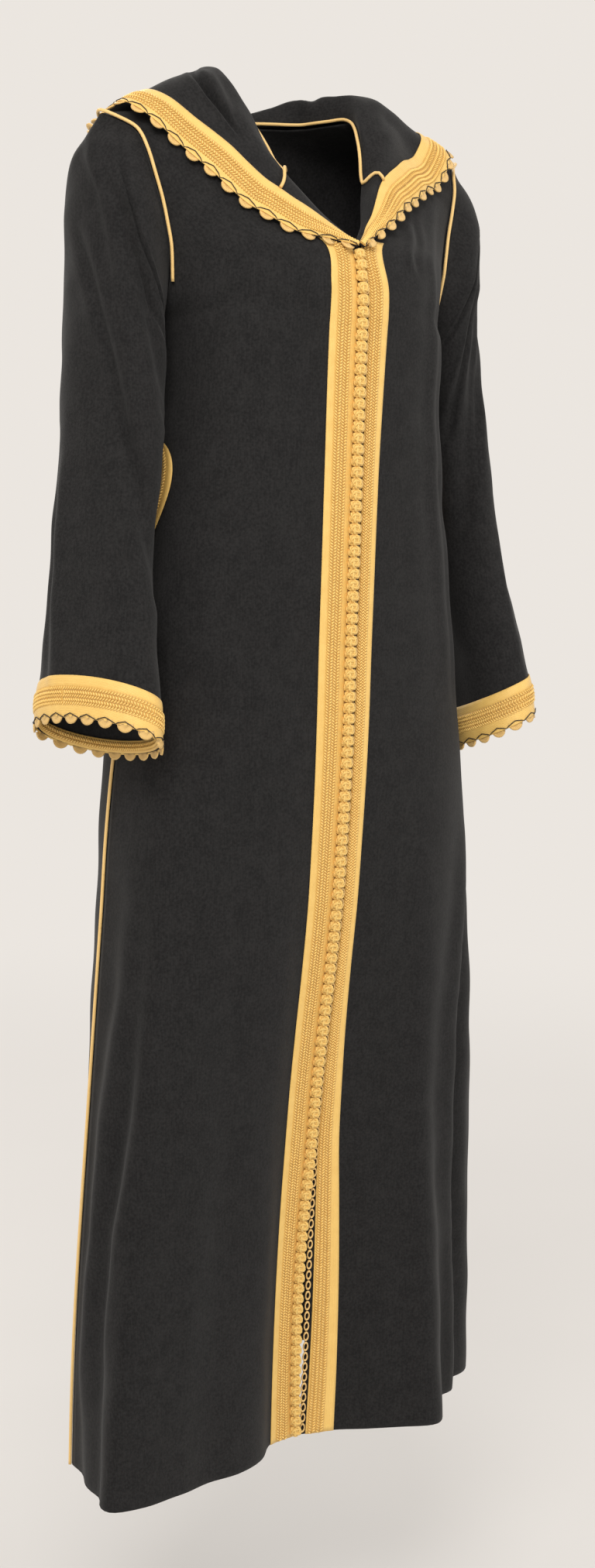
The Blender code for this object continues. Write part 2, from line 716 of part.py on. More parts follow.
def placed(profile, share, line, shift):
    """A small profile set across the front's edge, on top of the cloth."""
    points, outs, distances = line
    distance = STRIP_END_GAP + (distances[-1] - 4 * STRIP_END_GAP) * share
    middle = at_distance(points, distances, distance)
    out = at_distance(outs, distances, distance).normalized()
    ahead = at_distance(points, distances, distance + 0.001)
    behind = at_distance(points, distances, distance - 0.001)
    across = (ahead - behind).normalized().cross(out) * -1
    base = middle + across * shift + out * 2 * CLEARANCE
    return [base + across * x + out * z for x, z in profile]


def bar(name, grid, material):
    """Closed bar lofted through profiles of equal length."""
    count = len(grid[0])
    points = [point for row in grid for point in row]
    faces = grid_faces(len(grid), count, 1, True)
    faces.append(tuple(range(count))[::-1])
    faces.append(tuple((len(grid) - 1) * count + i for i in range(count)))
    return add_object(name, points, faces, material)


def start_collection():
    """Empty scene with one collection, named for the kaftan."""
    for thing in list(bpy.data.objects):
        bpy.data.objects.remove(thing)
    collection = bpy.data.collections.new(KAFTAN)
    bpy.context.scene.collection.children.link(collection)


def braid_on(name, grid, turn, material, ring=False):
    """Flat braid sewn on a panel: some of the panel's own points, moved out."""
    return sheet(name, grid, turn, material, BRAID_THICK, 1, ring)


def build_body(cloth, braid, knot, loop):
    """Fronts, back, front braids, and the knots and loops between them."""
    last = sum(1 for height in body_heights() if height <= NECK_V_HEIGHT)
    for side in (RIGHT, LEFT):
        grid = panel_grid(side, FRONT)
        sheet("front_" + SIDE_NAMES[side], grid, side, cloth)
        strip = [row[1:3] for row in moved_out(grid, side, CLEARANCE)[:last]]
        braid_on("front_braid_" + SIDE_NAMES[side], strip, side, braid)
    back_panel(cloth)
    knot_strip(knot)
    loop_strip(loop)


def build_sleeves(cloth, braid, crochet):
    """Sleeves with their cuff braids and scallops."""
    for side in (RIGHT, LEFT):
        grid = sleeve_grid(side)
        sheet("sleeve_" + SIDE_NAMES[side], grid, side, cloth, ring=True)
        cuff = moved_out(grid, side, CLEARANCE, ring=True)[-2:]
        braid_on("cuff_braid_" + SIDE_NAMES[side], cuff, side, braid, ring=True)
        scallops("cuff_scallops_" + SIDE_NAMES[side], grid[-1], grid[-2],
                 CUFF_SCALLOP_PITCH, CUFF_SCALLOP_GAP, crochet, ring=True)


def build_hood(cloth, braid, crochet):
    """Hood halves, the braid along their rim and its scallops."""
    for side in (RIGHT, LEFT):
        grid = hood_grid(side)
        sheet("hood_" + SIDE_NAMES[side], grid, side, cloth)
        lifted = moved_out(grid, side, 2 * CLEARANCE)
        braid_on("hood_braid_" + SIDE_NAMES[side], [row[-3:] for row in lifted], side, braid)
        scallops("hood_scallops_" + SIDE_NAMES[side], [row[-1] for row in grid],
                 [row[-2] for row in grid], HOOD_SCALLOP_PITCH, HOOD_SCALLOP_GAP, crochet)


def build_cords(material):
    """Round cords sewn over the armholes, the side seams and the neck seam."""
    for side in (RIGHT, LEFT):
        cord("armhole_cord_" + SIDE_NAMES[side], armhole_cord(side), PIPING_RADIUS, material)
        cord("side_cord_" + SIDE_NAMES[side], side_cord(side), PIPING_RADIUS, material)
        cord("neck_cord_" + SIDE_NAMES[side], neck_cord(side), PIPING_RADIUS, material)


def cord_lift(out, sides):
    """How far a cord's centre lies from a seam, along a direction between its two sides."""
    slant = max(min(out.dot(side_out) for side_out in sides), 0.5)
    return (PIPING_RADIUS + CLEARANCE) / slant + CORD_LIFT


def armhole_cord(side):
    """Line over the armhole seam, open under the arm where the cloth closes up."""
    loop = armhole_loop(side)
    sleeve = sleeve_grid(side)
    sleeve_outs = grid_normals(sleeve, side, ring=True)[0]
    front_outs = [row[-1] for row in grid_normals(panel_grid(side, FRONT), side)[SKIRT_ROWS:]]
    back_outs = [row[-1] for row in grid_normals(panel_grid(side, BACK), -side)[SKIRT_ROWS:]]
    body_outs = list(reversed(front_outs)) + back_outs[1:-1]
    half = len(loop) // 2
    order = list(range(half + ARMHOLE_CORD_OPEN, len(loop))) + list(
        range(half - ARMHOLE_CORD_OPEN + 1))
    line = []
    for i in order:
        middle = (loop[i] + sleeve[0][i]) / 2
        out = (body_outs[i] + sleeve_outs[i]).normalized()
        lift = cord_lift(out, (body_outs[i], sleeve_outs[i])) + ARMHOLE_CORD_LIFT
        line.append(middle + out * lift)
    return line


def side_cord(side):
    """Line over the side seam, from below the pocket down to the hem."""
    front = panel_grid(side, FRONT)
    back = panel_grid(side, BACK)
    front_outs = grid_normals(front, side)
    back_outs = grid_normals(back, -side)
    line = []
    for r, height in enumerate(body_heights()):
        if height > POCKET_BOTTOM:
            break
        middle = (front[r][-1] + back[r][-1]) / 2
        out = (front_outs[r][-1] + back_outs[r][-1]).normalized()
        line.append(middle + out * (PIPING_RADIUS + CLEARANCE))
    return line


def between_columns(grid, column, row):
    """Point or direction of a grid at a row, between two of its columns."""
    low = int(column)
    return grid[low][row].lerp(grid[low + 1][row], column - low)


def neck_cord(side):
    """Line inside the neck seam, with its front end over the roll to the hood's braid."""
    grid = hood_grid(side)
    outs = grid_normals(grid, side)
    lift = PIPING_RADIUS + CLEARANCE + CORD_LIFT
    line = []
    for row in range(NECK_CORD_ROWS, 0, -1):
        column = NECK_CORD_COLUMN + NECK_CORD_TURN * row / NECK_CORD_ROWS
        point = between_columns(grid, column, row)
        line.append(point + between_columns(outs, column, row) * lift)
    for i in range(NECK_CORD_COLUMN + 1, HOOD_COLUMNS + 1):
        line.append(grid[i][0] + outs[i][0] * lift)
    line[-1].x = side * PIPING_RADIUS
    return line


def pocket_braid(side, material):
    """Leaf of braid round the pocket slit in the side seam."""
    grid = []
    for i in range(POCKET_STEPS + 1):
        share = i / POCKET_STEPS
        height = POCKET_BOTTOM + (POCKET_TOP - POCKET_BOTTOM) * share
        half = 0.003 + POCKET_HALF_WIDTH * math.sin(math.pi * (1 - share) ** 0.75)
        front = body_curve(height, side, FRONT)
        back = body_curve(height, side, BACK)
        front_lengths = lengths_along(front)
        back_lengths = lengths_along(back)
        ahead = half + POCKET_FORWARD
        behind = max(half - POCKET_FORWARD, 0.002)
        row = [at_distance(front, front_lengths, front_lengths[-1] - ahead),
               at_distance(front, front_lengths, front_lengths[-1] - ahead / 2),
               (front[-1] + back[-1]) / 2,
               at_distance(back, back_lengths, back_lengths[-1] - behind / 2),
               at_distance(back, back_lengths, back_lengths[-1] - behind)]
        grid.append(row)
    lifted = moved_out(grid, side, POCKET_LIFT)
    return braid_on("pocket_braid_" + SIDE_NAMES[side], lifted, side, material)


def main():
    start_collection()
    cloth = new_material("black_cloth", (0.018, 0.017, 0.017), 0.85)
    braid = new_material("gold_braid", (0.75, 0.45, 0.13), 0.60)
    crochet = new_material("gold_crochet", (0.72, 0.42, 0.12), 0.70)
    cord_gold = new_material("gold_cord", (0.74, 0.45, 0.14), 0.60)
    knot = new_material("gold_knots", (0.70, 0.42, 0.12), 0.65)
    build_body(cloth, braid, knot, cord_gold)
    build_sleeves(cloth, braid, crochet)
    build_hood(cloth, braid, crochet)
    build_cords(cord_gold)
    for side in (RIGHT, LEFT):
        pocket_braid(side, braid)


main()
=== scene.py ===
import math
from collections import namedtuple

import bpy
import numpy as np
from mathutils import Matrix, Vector


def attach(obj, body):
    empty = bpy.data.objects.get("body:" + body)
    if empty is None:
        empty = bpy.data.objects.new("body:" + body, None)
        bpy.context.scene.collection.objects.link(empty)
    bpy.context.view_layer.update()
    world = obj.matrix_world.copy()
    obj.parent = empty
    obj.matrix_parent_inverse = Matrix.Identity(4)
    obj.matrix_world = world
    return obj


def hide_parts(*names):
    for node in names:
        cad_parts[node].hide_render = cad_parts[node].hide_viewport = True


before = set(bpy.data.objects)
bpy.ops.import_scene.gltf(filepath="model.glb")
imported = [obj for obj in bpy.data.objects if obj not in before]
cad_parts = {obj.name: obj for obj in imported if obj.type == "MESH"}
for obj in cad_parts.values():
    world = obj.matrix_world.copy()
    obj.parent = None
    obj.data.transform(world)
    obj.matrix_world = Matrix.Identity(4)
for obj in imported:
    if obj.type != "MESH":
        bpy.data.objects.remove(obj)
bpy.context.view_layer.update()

# Moroccan hooded kaftan: black cloth, gold braid, knot buttons and crochet edging.
# Right and left are the wearer's. The front faces -Y.
bpy.ops.object.select_all(action="DESELECT")
right, left = -1, 1
front, back = -1, 1
sideNames = {right: "right", left: "left"}

# the body's shape
body = {
    "hemHeight": -1.335, "underarmHeight": -0.240, "neckV": -0.163,
    "slitTop": -1.050, "slitHalfGap": 0.0040, "seamHalfGap": 0.0005, "sideSeamHalfGap": 0.0014,
    "braidInner": {right: 0.0080, left: 0.0058}, "rightBraidOuter": 0.0385,
    "leftBraidHeights": (-1.335, -1.090, -0.970, -0.850, -0.600, -0.360, -0.240, -0.163),
    "leftBraidOuter": (0.0370, 0.0320, 0.0275, 0.0228, 0.0240, 0.0258, 0.0300, 0.0290),
    "flareTop": -0.60, "flarePower": 1.1, "curvePower": 3.0,
    "skirtRows": 18, "frontColumns": 11, "backColumns": 7, "denseSteps": 48,
}
chestHeights = (-0.222, -0.198, -0.163, -0.142, -0.112, -0.083, -0.057, -0.036, -0.022, -0.012)

# drop: how far a row falls away from the centre. width, lean: where the side seam or armhole is.
# armFront, armBack, front, back: depth of the cloth at the side and at the centre.
bodyRow = namedtuple(
    "bodyRow",
    "height drop width lean armFront armBack front back bust wrap neckFront neckBack")
bodySections = [bodyRow(*row) for row in (
    (-1.335, 0.00, 0.232, 0.000, -0.038, -0.038, -0.105, 0.098, 0, 1.0, 0, 0),
    (-1.050, 0.00, 0.222, 0.016, -0.037, -0.037, -0.1185, 0.086, 0, 1.0, 0, 0),
    (-0.820, 0.00, 0.206, 0.009, -0.036, -0.036, -0.1465, 0.078, 0, 1.0, 0, 0),
    (-0.700, 0.00, 0.199, 0.004, -0.036, -0.036, -0.1485, 0.075, 0, 1.0, 0, 0),
    (-0.580, 0.00, 0.187, 0.001, -0.036, -0.036, -0.146, 0.072, 0, 1.0, 0, 0),
    (-0.500, 0.00, 0.176, 0.000, -0.036, -0.036, -0.146, 0.067, 0, 1.0, 0, 0),
    (-0.420, 0.00, 0.164, 0.000, -0.036, -0.036, -0.146, 0.065, 0, 1.0, 0, 0),
    (-0.340, 0.00, 0.153, 0.000, -0.033, -0.033, -0.146, 0.069, 0, 1.0, 0, 0),
    (-0.270, 0.00, 0.148, 0.000, -0.026, -0.026, -0.146, 0.076, 0, 1.0, 0, 0),
    (-0.240, 0.00, 0.150, 0.000, -0.022, -0.022, -0.1465, 0.079, 0, 1.0, 0, 0),
    (-0.222, 0.02, 0.158, 0.000, -0.046, 0.020, -0.1465, 0.080, 0.002, 0.4, 0, 0),
    (-0.198, 0.03, 0.162, 0.000, -0.060, 0.034, -0.1440, 0.080, 0.005, 0.1, 0, 0),
    (-0.163, 0.06, 0.165, 0.000, -0.065, 0.039, -0.1315, 0.079, 0.009, 0, 0, 0),
    (-0.142, 0.09, 0.168, 0.000, -0.064, 0.040, -0.1140, 0.077, 0.012, 0, 0.0205, 0),
    (-0.112, 0.11, 0.174, 0.000, -0.061, 0.039, -0.0895, 0.074, 0.014, 0, 0.0395, 0),
    (-0.083, 0.14, 0.181, 0.000, -0.058, 0.035, -0.0730, 0.070, 0.011, 0, 0.0540, 0),
    (-0.057, 0.16, 0.187, 0.000, -0.054, 0.027, -0.0610, 0.064, 0.007, 0, 0.0620, 0),
    (-0.036, 0.18, 0.192, 0.000, -0.046, 0.015, -0.0490, 0.055, 0.003, 0, 0.068, 0.0005),
    (-0.022, 0.20, 0.201, 0.000, -0.035, -0.003, -0.0370, 0.032, 0.001, 0, 0.0735, 0.052),
    (-0.012, 0.20, 0.215, 0, -0.0213, -0.0187, -0.0213, -0.0187, 0, 0, 0.0785, 0.0785),
)]

# the hem's outline in plan, from the centre to the side seam
hemOutlines = {
    (right, front): ((0, -0.104), (-0.036, -0.107), (-0.090, -0.147), (-0.150, -0.150),
                     (-0.205, -0.160), (-0.247, -0.163), (-0.262, -0.140), (-0.240, -0.095),
                     (-0.228, -0.040)),
    (left, front): ((0, -0.104), (0.040, -0.115), (0.100, -0.147), (0.136, -0.160),
                    (0.158, -0.146), (0.190, -0.104), (0.232, -0.080), (0.275, -0.050),
                    (0.296, -0.010)),
    (right, back): ((0, 0.140), (-0.045, 0.112), (-0.090, 0.112), (-0.118, 0.070),
                    (-0.160, 0.046), (-0.192, 0.000), (-0.228, -0.040)),
    (left, back): ((0, 0.140), (0.050, 0.110), (0.105, 0.140), (0.165, 0.104),
                   (0.218, 0.102), (0.262, 0.045), (0.296, -0.010)),
}


def smoothValue(keys, values, at):
    at = min(max(at, keys[0]), keys[-1])
    index = 0
    while index < len(keys) - 2 and keys[index + 1] < at:
        index += 1
    span = keys[index + 1] - keys[index]
    t = (at - keys[index]) / span

    def slope(i):
        low, high = max(i - 1, 0), min(i + 1, len(keys) - 1)
        return (values[high] - values[low]) / (keys[high] - keys[low]) * span

    return (values[index] * (1 + 2 * t) * (1 - t) ** 2 + slope(index) * t * (1 - t) ** 2
            + values[index + 1] * t * t * (3 - 2 * t) + slope(index + 1) * t * t * (t - 1))


def smoothRow(table, key, at):
    keys = [getattr(row, key) for row in table]
    return type(table[0])(*(smoothValue(keys, column, at) for column in zip(*table)))


def ease(t):
    t = np.clip(t, 0.0, 1.0)
    return t * t * (3 - 2 * t)


def lengthsAlong(points):  # distance of each point from the first one
    steps = np.linalg.norm(np.diff(np.asarray(points, float), axis=0), axis=1)
    return np.concatenate([[0.0], np.cumsum(steps)])


def atDistance(points, distances, wanted):
    points = np.asarray(points, float)
    return np.stack([np.interp(wanted, distances, points[:, axis]) for axis in range(3)], -1)


def spread(points, count):
    distances = lengthsAlong(points)
    return atDistance(points, distances, np.linspace(0, distances[-1], count + 1))


def torsoCurve(height, side, face):
    section = smoothRow(bodySections, "height", height)
    width = section.width + side * section.lean
    neck = (section.neckFront if face == front else section.neckBack) / width
    centreY = section.front if face == front else section.back
    edgeY = section.armFront if face == front else section.armBack
    bend = body["curvePower"]
    power = bend if face == front else 2 + (bend - 2) * (1 - section.wrap)
    out = np.sin(np.linspace(0, math.pi / 2, body["denseSteps"] + 1))
    share = np.minimum(neck + (1 - neck) * out, 1.0)
    openBend = share ** bend
    fullBend = 1 - (1 - share ** power) ** (1 / power)
    x = width * share
    y = centreY + (edgeY - centreY) * (openBend + (fullBend - openBend) * section.wrap)
    if face == front:
        y = y - section.bust * np.sin(math.pi * out)
    return spread(np.stack([side * x, y, section.height - section.drop * x], -1), body["denseSteps"])


def hemCurve(side, face):
    table = hemOutlines[side, face]
    keys = list(range(len(table)))
    at = np.linspace(0, keys[-1], body["denseSteps"] + 1)
    x = [smoothValue(keys, [p[0] for p in table], t) for t in at]
    y = [smoothValue(keys, [p[1] for p in table], t) for t in at]
    return spread(np.stack([x, y, np.full(len(at), body["hemHeight"])], -1), body["denseSteps"])


hemCurves = {key: hemCurve(*key) for key in hemOutlines}


def bodyCurve(height, side, face):
    torso = torsoCurve(height, side, face)
    flare = (body["flareTop"] - height) / (body["flareTop"] - body["hemHeight"])
    if flare <= 0:
        return torso
    share = flare ** body["flarePower"]
    blended = torso + (hemCurves[side, face] - torso) * share
    blended[:, 2] = height
    return blended


def slitHalfGap(height):
    if height > body["slitTop"]:
        return body["seamHalfGap"]
    down = (body["slitTop"] - height) / (body["slitTop"] - body["hemHeight"])
    return body["seamHalfGap"] + body["slitHalfGap"] * math.sin(math.pi * down * 0.92) ** 0.8


bodyHeights = list(np.linspace(body["hemHeight"], body["underarmHeight"], body["skirtRows"] + 1))
bodyHeights += list(chestHeights)
vRow = sum(1 for height in bodyHeights if height <= body["neckV"] + 1e-6)


def panelGrid(side, face):  # rows from the hem up, columns from the centre out
    grid = []
    for height in bodyHeights:
        curve = bodyCurve(height, side, face)
        distances = lengthsAlong(curve)
        if face == front:
            edge = slitHalfGap(height)
            outer = body["rightBraidOuter"]
            if side == left:
                outer = smoothValue(body["leftBraidHeights"], body["leftBraidOuter"], height)
            first = [edge, edge + body["braidInner"][side], edge + outer]
            count = body["frontColumns"]
        else:
            first = [0.0]
            count = body["backColumns"]
        rest = count - len(first) + 1
        last = distances[-1] - body["sideSeamHalfGap"]
        cuts = first + [first[-1] + (last - first[-1]) * (i + 1) / rest for i in range(rest)]
        grid.append(atDistance(curve, distances, cuts))
    return np.array(grid)


panels = {(side, face): panelGrid(side, face) for side in (right, left) for face in (front, back)}
print("body panels laid out")

# the sleeves' shape
ringRow = namedtuple("ringRow", "outerX outerZ innerX innerZ middleY halfDepth toeIn")
sleeveRings = [ringRow(*row) for row in (
    (0.229, -0.084, 0.153, -0.262, -0.017, 0.058, 0.02),
    (0.233, -0.122, 0.154, -0.276, -0.018, 0.060, 0.04),
    (0.231, -0.170, 0.156, -0.295, -0.020, 0.060, 0.06),
    (0.234, -0.220, 0.159, -0.318, -0.024, 0.060, 0.08),
    (0.238, -0.275, 0.164, -0.346, -0.030, 0.060, 0.10),
    (0.244, -0.330, 0.171, -0.378, -0.037, 0.059, 0.12),
    (0.250, -0.380, 0.180, -0.415, -0.043, 0.058, 0.14),
    (0.257, -0.430, 0.187, -0.455, -0.048, 0.059, 0.15),
    (0.262, -0.480, 0.191, -0.495, -0.055, 0.062, 0.16),
    (0.267, -0.525, 0.197, -0.535, -0.062, 0.066, 0.17),
    (0.274, -0.581, 0.202, -0.587, -0.073, 0.071, 0.17),
    (0.277, -0.618, 0.205, -0.624, -0.078, 0.073, 0.17),
)]
# how far the cuff's outer side and front are raised, and how far the cuff drops
tiltRow = namedtuple("tiltRow", "outer front drop")
cuffTilts = {right: tiltRow(0.0155, 0.0055, 0.0), left: tiltRow(0.0120, 0.0170, 0.0090)}
cuffTiltRings = 4
clearance = 0.0003


def armholeLoop(side):  # from the shoulder down the front and up the back
    skirt = body["skirtRows"]
    down = panels[side, front][skirt:, -1][::-1].copy()
    up = panels[side, back][skirt:, -1].copy()
    down[0] = (down[0] + up[-1]) / 2
    down[-1] = (down[-1] + up[0]) / 2
    return np.concatenate([down, up[1:-1]])


def sleeveGrid(side):  # rings from the armhole to the cuff's end, without folds
    loop = armholeLoop(side)
    inward = loop.mean(0) - loop
    inward /= np.linalg.norm(inward, axis=1)[:, None]
    grid = [loop + np.array([side * 0.0011, 0, -0.0003]) + inward * clearance]
    turned = np.linspace(0, 2 * math.pi, len(loop), endpoint=False)[:, None]
    tilt = cuffTilts[side]
    for number, ring in enumerate(sleeveRings):
        low = float(ease(1 - (len(sleeveRings) - 2 - number) / cuffTiltRings))
        outer = np.array([side * ring.outerX, ring.middleY, ring.outerZ])
        inner = np.array([side * ring.innerX, ring.middleY, ring.innerZ])
        middle = (outer + inner) / 2 - np.array([0, 0, tilt.drop * low])
        across = (outer - inner) / 2 + np.array([0, 0, tilt.outer * low])
        forward = np.array([-side * ring.toeIn, -1.0, 0.0])
        forward *= ring.halfDepth / np.linalg.norm(forward)
        forward[2] = tilt.front * low
        grid.append(middle + across * np.cos(turned) + forward * np.sin(turned))
    return np.array(grid)


# the hood's shape
# roll: from the seam to the top of the roll round the neck. bearing: 0 in front, 180 behind.
# The fall, the fold and the rim each have a radius and a height round the neck's axis.
hoodRow = namedtuple(
    "hoodRow",
    "along rollOut rollUp bearing twist fallRadius fallHeight foldRadius foldHeight "
    "rimRadius rimHeight leftRoll leftRise")
hoodSections = [hoodRow(*row) for row in (
    (0.00, 0.003, 0.004, 1, 1, 0.118, -0.160, 0.1195, -0.1615, 0.121, -0.163, 0, 0),
    (0.10, 0.003, 0.006, 10, 4, 0.105, -0.145, 0.112, -0.152, 0.120, -0.159, 0, 0.010),
    (0.20, 0.003, 0.006, 25, 7, 0.094, -0.118, 0.105, -0.128, 0.131, -0.154, 0, 0.025),
    (0.28, 0.003, 0.006, 36, 7, 0.091, -0.099, 0.105, -0.113, 0.135, -0.141, 0, 0.026),
    (0.36, 0.003, 0.007, 48, 4, 0.095, -0.079, 0.114, -0.104, 0.139, -0.130, 0, 0.022),
    (0.45, 0.003, 0.011, 62, 2, 0.100, -0.049, 0.122, -0.078, 0.148, -0.103, 0, 0.010),
    (0.54, 0.002, 0.019, 74, -1, 0.104, -0.024, 0.131, -0.052, 0.161, -0.082, 0, -0.002),
    (0.63, 0.002, 0.029, 88, -4, 0.110, -0.003, 0.150, -0.022, 0.193, -0.046, -0.004, 0),
    (0.71, 0.003, 0.035, 105, -8, 0.112, -0.008, 0.150, -0.032, 0.191, -0.045, -0.007, 0),
    (0.76, 0.005, 0.036, 116, -7, 0.124, -0.022, 0.156, -0.060, 0.188, -0.053, -0.007, 0),
    (0.81, 0.006, 0.036, 128, -5, 0.135, -0.050, 0.161, -0.134, 0.189, -0.062, -0.006, 0),
    (0.90, 0.008, 0.034, 153, -3, 0.119, -0.115, 0.148, -0.250, 0.168, -0.090, -0.003, 0),
    (1.00, 0.008, 0.032, 180, 0, 0.113, -0.170, 0.136, -0.340, 0.160, -0.100, 0, 0),
)]
hood = {"columns": 20, "rows": 11, "braidWidth": 0.037, "seamRise": 0.0036, "seamInset": 0.0006,
        "axisY": -0.020}
neckCord = {"column": 6, "rows": 9}


def neckEdge(side):
    frontRows = panels[side, front][vRow - 1:, 0]
    backRows = panels[side, back][:, 0]
    backRows = backRows[np.abs(backRows[:, 0]) > body["seamHalfGap"] * 0.9][::-1]
    end = backRows[-1].copy()
    end[0] = side * body["seamHalfGap"]
    join = (frontRows[-1] + backRows[0]) / 2
    return np.concatenate([frontRows[:-1], [join], backRows[1:-1], [end]])


def polar(side, bearing, radius, height):
    turned = math.radians(bearing)
    return np.array([side * radius * math.sin(turned),
                     hood["axisY"] - radius * math.cos(turned), height])


def hoodLine(side, section, root):
    away = np.array([root[0], root[1] - hood["axisY"], 0])
    away /= np.linalg.norm(away)
    rise = section.leftRise if side == left else 0.0
    rollUp = section.rollUp + (section.leftRoll if side == left else 0.0)
    return np.array([
        root + np.array([0, 0, hood["seamRise"]]) - away * hood["seamInset"],
        root + away * section.rollOut + np.array([0, 0, rollUp]),
        polar(side, section.bearing, section.fallRadius, section.fallHeight + rise * 0.3),
        polar(side, section.bearing, section.foldRadius - rise * 0.3,
              section.foldHeight + rise * 0.6),
        polar(side, section.bearing + section.twist, section.rimRadius - rise * 0.6,
              section.rimHeight + rise),
    ])


def hoodGrid(side):  # from the V round to the centre back, each row from the seam to the rim
    seam = neckEdge(side)
    distances = lengthsAlong(seam)
    grid = []
    for i in range(hood["columns"] + 1):
        section = smoothRow(hoodSections, "along", i / hood["columns"])
        root = atDistance(seam, distances, distances[-1] * section.along)
        line = hoodLine(side, section, root)
        if i == hood["columns"]:
            line[:, 0] = side * body["seamHalfGap"]
        keys = np.arange(len(line))
        at = np.linspace(0, keys[-1], body["denseSteps"] + 1)
        curve = readSmooth(keys, line[:, None], at)[:, 0]
        total = lengthsAlong(curve)
        braid = min(hood["braidWidth"], total[-1] * 0.55)
        rows = hood["rows"]
        wanted = [(total[-1] - braid) * j / (rows - 2) for j in range(rows - 1)]
        wanted += [total[-1] - braid / 2, total[-1]]
        grid.append(atDistance(curve, total, wanted))
    return np.array(grid)


# fine grids, folds and meshes
def readSmooth(keys, values, at):  # rows of points read between the rows, on smooth curves
    keys = np.asarray(keys, float)
    values = np.asarray(values, float)
    at = np.clip(np.asarray(at, float), keys[0], keys[-1])
    low = np.clip(np.searchsorted(keys, at) - 1, 0, len(keys) - 2)
    slopes = np.empty_like(values)
    slopes[1:-1] = (values[2:] - values[:-2]) / (keys[2:] - keys[:-2])[:, None, None]
    slopes[0] = (values[1] - values[0]) / (keys[1] - keys[0])
    slopes[-1] = (values[-1] - values[-2]) / (keys[-1] - keys[-2])
    span = (keys[low + 1] - keys[low])[:, None, None]
    t = (at - keys[low])[:, None, None] / span
    return (values[low] * (1 + 2 * t) * (1 - t) ** 2 + slopes[low] * span * t * (1 - t) ** 2
            + values[low + 1] * t * t * (3 - 2 * t) + slopes[low + 1] * span * t * t * (t - 1))


def refined(grid, rowKeys, rowsAt, columnKeys, columnsAt):
    tall = readSmooth(rowKeys, grid, rowsAt)
    return readSmooth(columnKeys, tall.transpose(1, 0, 2), columnsAt).transpose(1, 0, 2)


def normalsOf(grid, turn, ring=False):
    if ring:
        across = np.roll(grid, -1, 1) - np.roll(grid, 1, 1)
    else:
        across = np.gradient(grid, axis=1)
    normals = np.cross(across, np.gradient(grid, axis=0)) * turn
    return normals / np.maximum(np.linalg.norm(normals, axis=2), 1e-12)[..., None]


# A fold runs through stations (along, across). depth is inwards; below 0 it is a ridge.
foldLine = namedtuple("foldLine", "stations width depth")


def foldDepth(along, across, folds, period=0, shoulder=0.25):
    total = np.zeros(along.shape)
    for fold in folds:
        keys = [station[0] for station in fold.stations]
        middle = np.interp(along, keys, [station[1] for station in fold.stations])
        t = np.clip((along - keys[0]) / (keys[-1] - keys[0]), 0, 1)
        away = across - middle
        if period:
            away = (away + period / 2) % period - period / 2
        d = np.abs(away) / fold.width
        shape = np.exp(-d * d) - shoulder * np.exp(-(d - 1.9) ** 2)
        total += fold.depth * np.sin(math.pi * t) ** 0.7 * shape
    return total


def softUneven(points, size, depth):  # slow unevenness of worn cloth, the same on every run
    x, y, z = (points[..., i] * 2 * math.pi / size for i in range(3))
    wave = np.sin(x + 1.3 * z + 0.7) * np.cos(0.6 * z - y + 2.1)
    wave += 0.6 * np.sin(1.7 * y - 0.9 * x + 0.5 * z) * np.cos(1.1 * z + 0.8 * x + 4.0)
    return depth * wave


def lengthUVs(grid, ring=False):  # width and length of the cloth at each point, in metres
    if ring:
        grid = np.concatenate([grid, grid[:, :1]], 1)
    across = np.zeros(grid.shape[:2])
    across[:, 1:] = np.cumsum(np.linalg.norm(np.diff(grid, axis=1), axis=2), 1)
    along = np.zeros(grid.shape[:2])
    along[1:] = np.cumsum(np.linalg.norm(np.diff(grid, axis=0), axis=2), 0)
    along = np.repeat(along.mean(1)[:, None], grid.shape[1], 1)
    return np.stack([across, along], -1)


def gridQuads(rows, columns, turn, ring):
    quads = []
    for r in range(rows - 1):
        for c in range(columns if ring else columns - 1):
            after = (c + 1) % columns
            quad = (r * columns + c, r * columns + after,
                    (r + 1) * columns + after, (r + 1) * columns + c)
            quads.append(quad if turn > 0 else quad[::-1])
    return quads


def gridCornerUVs(rows, columns, turn, ring, uvs):
    corners = []
    for r in range(rows - 1):
        for c in range(columns if ring else columns - 1):
            quad = [uvs[r, c], uvs[r, c + 1], uvs[r + 1, c + 1], uvs[r + 1, c]]
            corners += quad if turn > 0 else quad[::-1]
    return corners


def makeMesh(name, points, faces, cornerUVs, material, paintedLight=None):
    mesh = bpy.data.meshes.new(name)
    mesh.from_pydata([tuple(p) for p in points], [], faces)
    layer = mesh.uv_layers.new(name="UVMap")
    layer.data.foreach_set("uv", np.array(cornerUVs, np.float32).ravel())
    # painted light per point, read by the gold material: painted shade in the braid's hollows,
    # painted highlight on the stitch tops
    if paintedLight is not None:
        attribute = mesh.attributes.new("paintedLight", "FLOAT", "POINT")
        attribute.data.foreach_set("value", np.array(paintedLight, np.float32))
    mesh.materials.append(material)
    mesh.shade_smooth()
    thing = bpy.data.objects.new(name, mesh)
    bpy.context.scene.collection.objects.link(thing)
    return thing


def applyModifiers(thing):
    bpy.ops.object.select_all(action="DESELECT")
    thing.select_set(True)
    bpy.context.view_layer.objects.active = thing
    for modifier in list(thing.modifiers):
        bpy.ops.object.modifier_apply(modifier=modifier.name)
    thing.select_set(False)


def giveWall(thing, thickness, offset):
    wall = thing.modifiers.new("wall", "SOLIDIFY")
    wall.thickness = thickness
    wall.offset = offset
    applyModifiers(thing)


def clothSheet(name, grid, turn, material, thickness, ring=False):
    rows, columns = grid.shape[:2]
    uvs = lengthUVs(grid, ring)
    thing = makeMesh(name, grid.reshape(-1, 3), gridQuads(rows, columns, turn, ring),
                     gridCornerUVs(rows, columns, turn, ring, uvs), material)
    giveWall(thing, thickness, -1)
    return thing


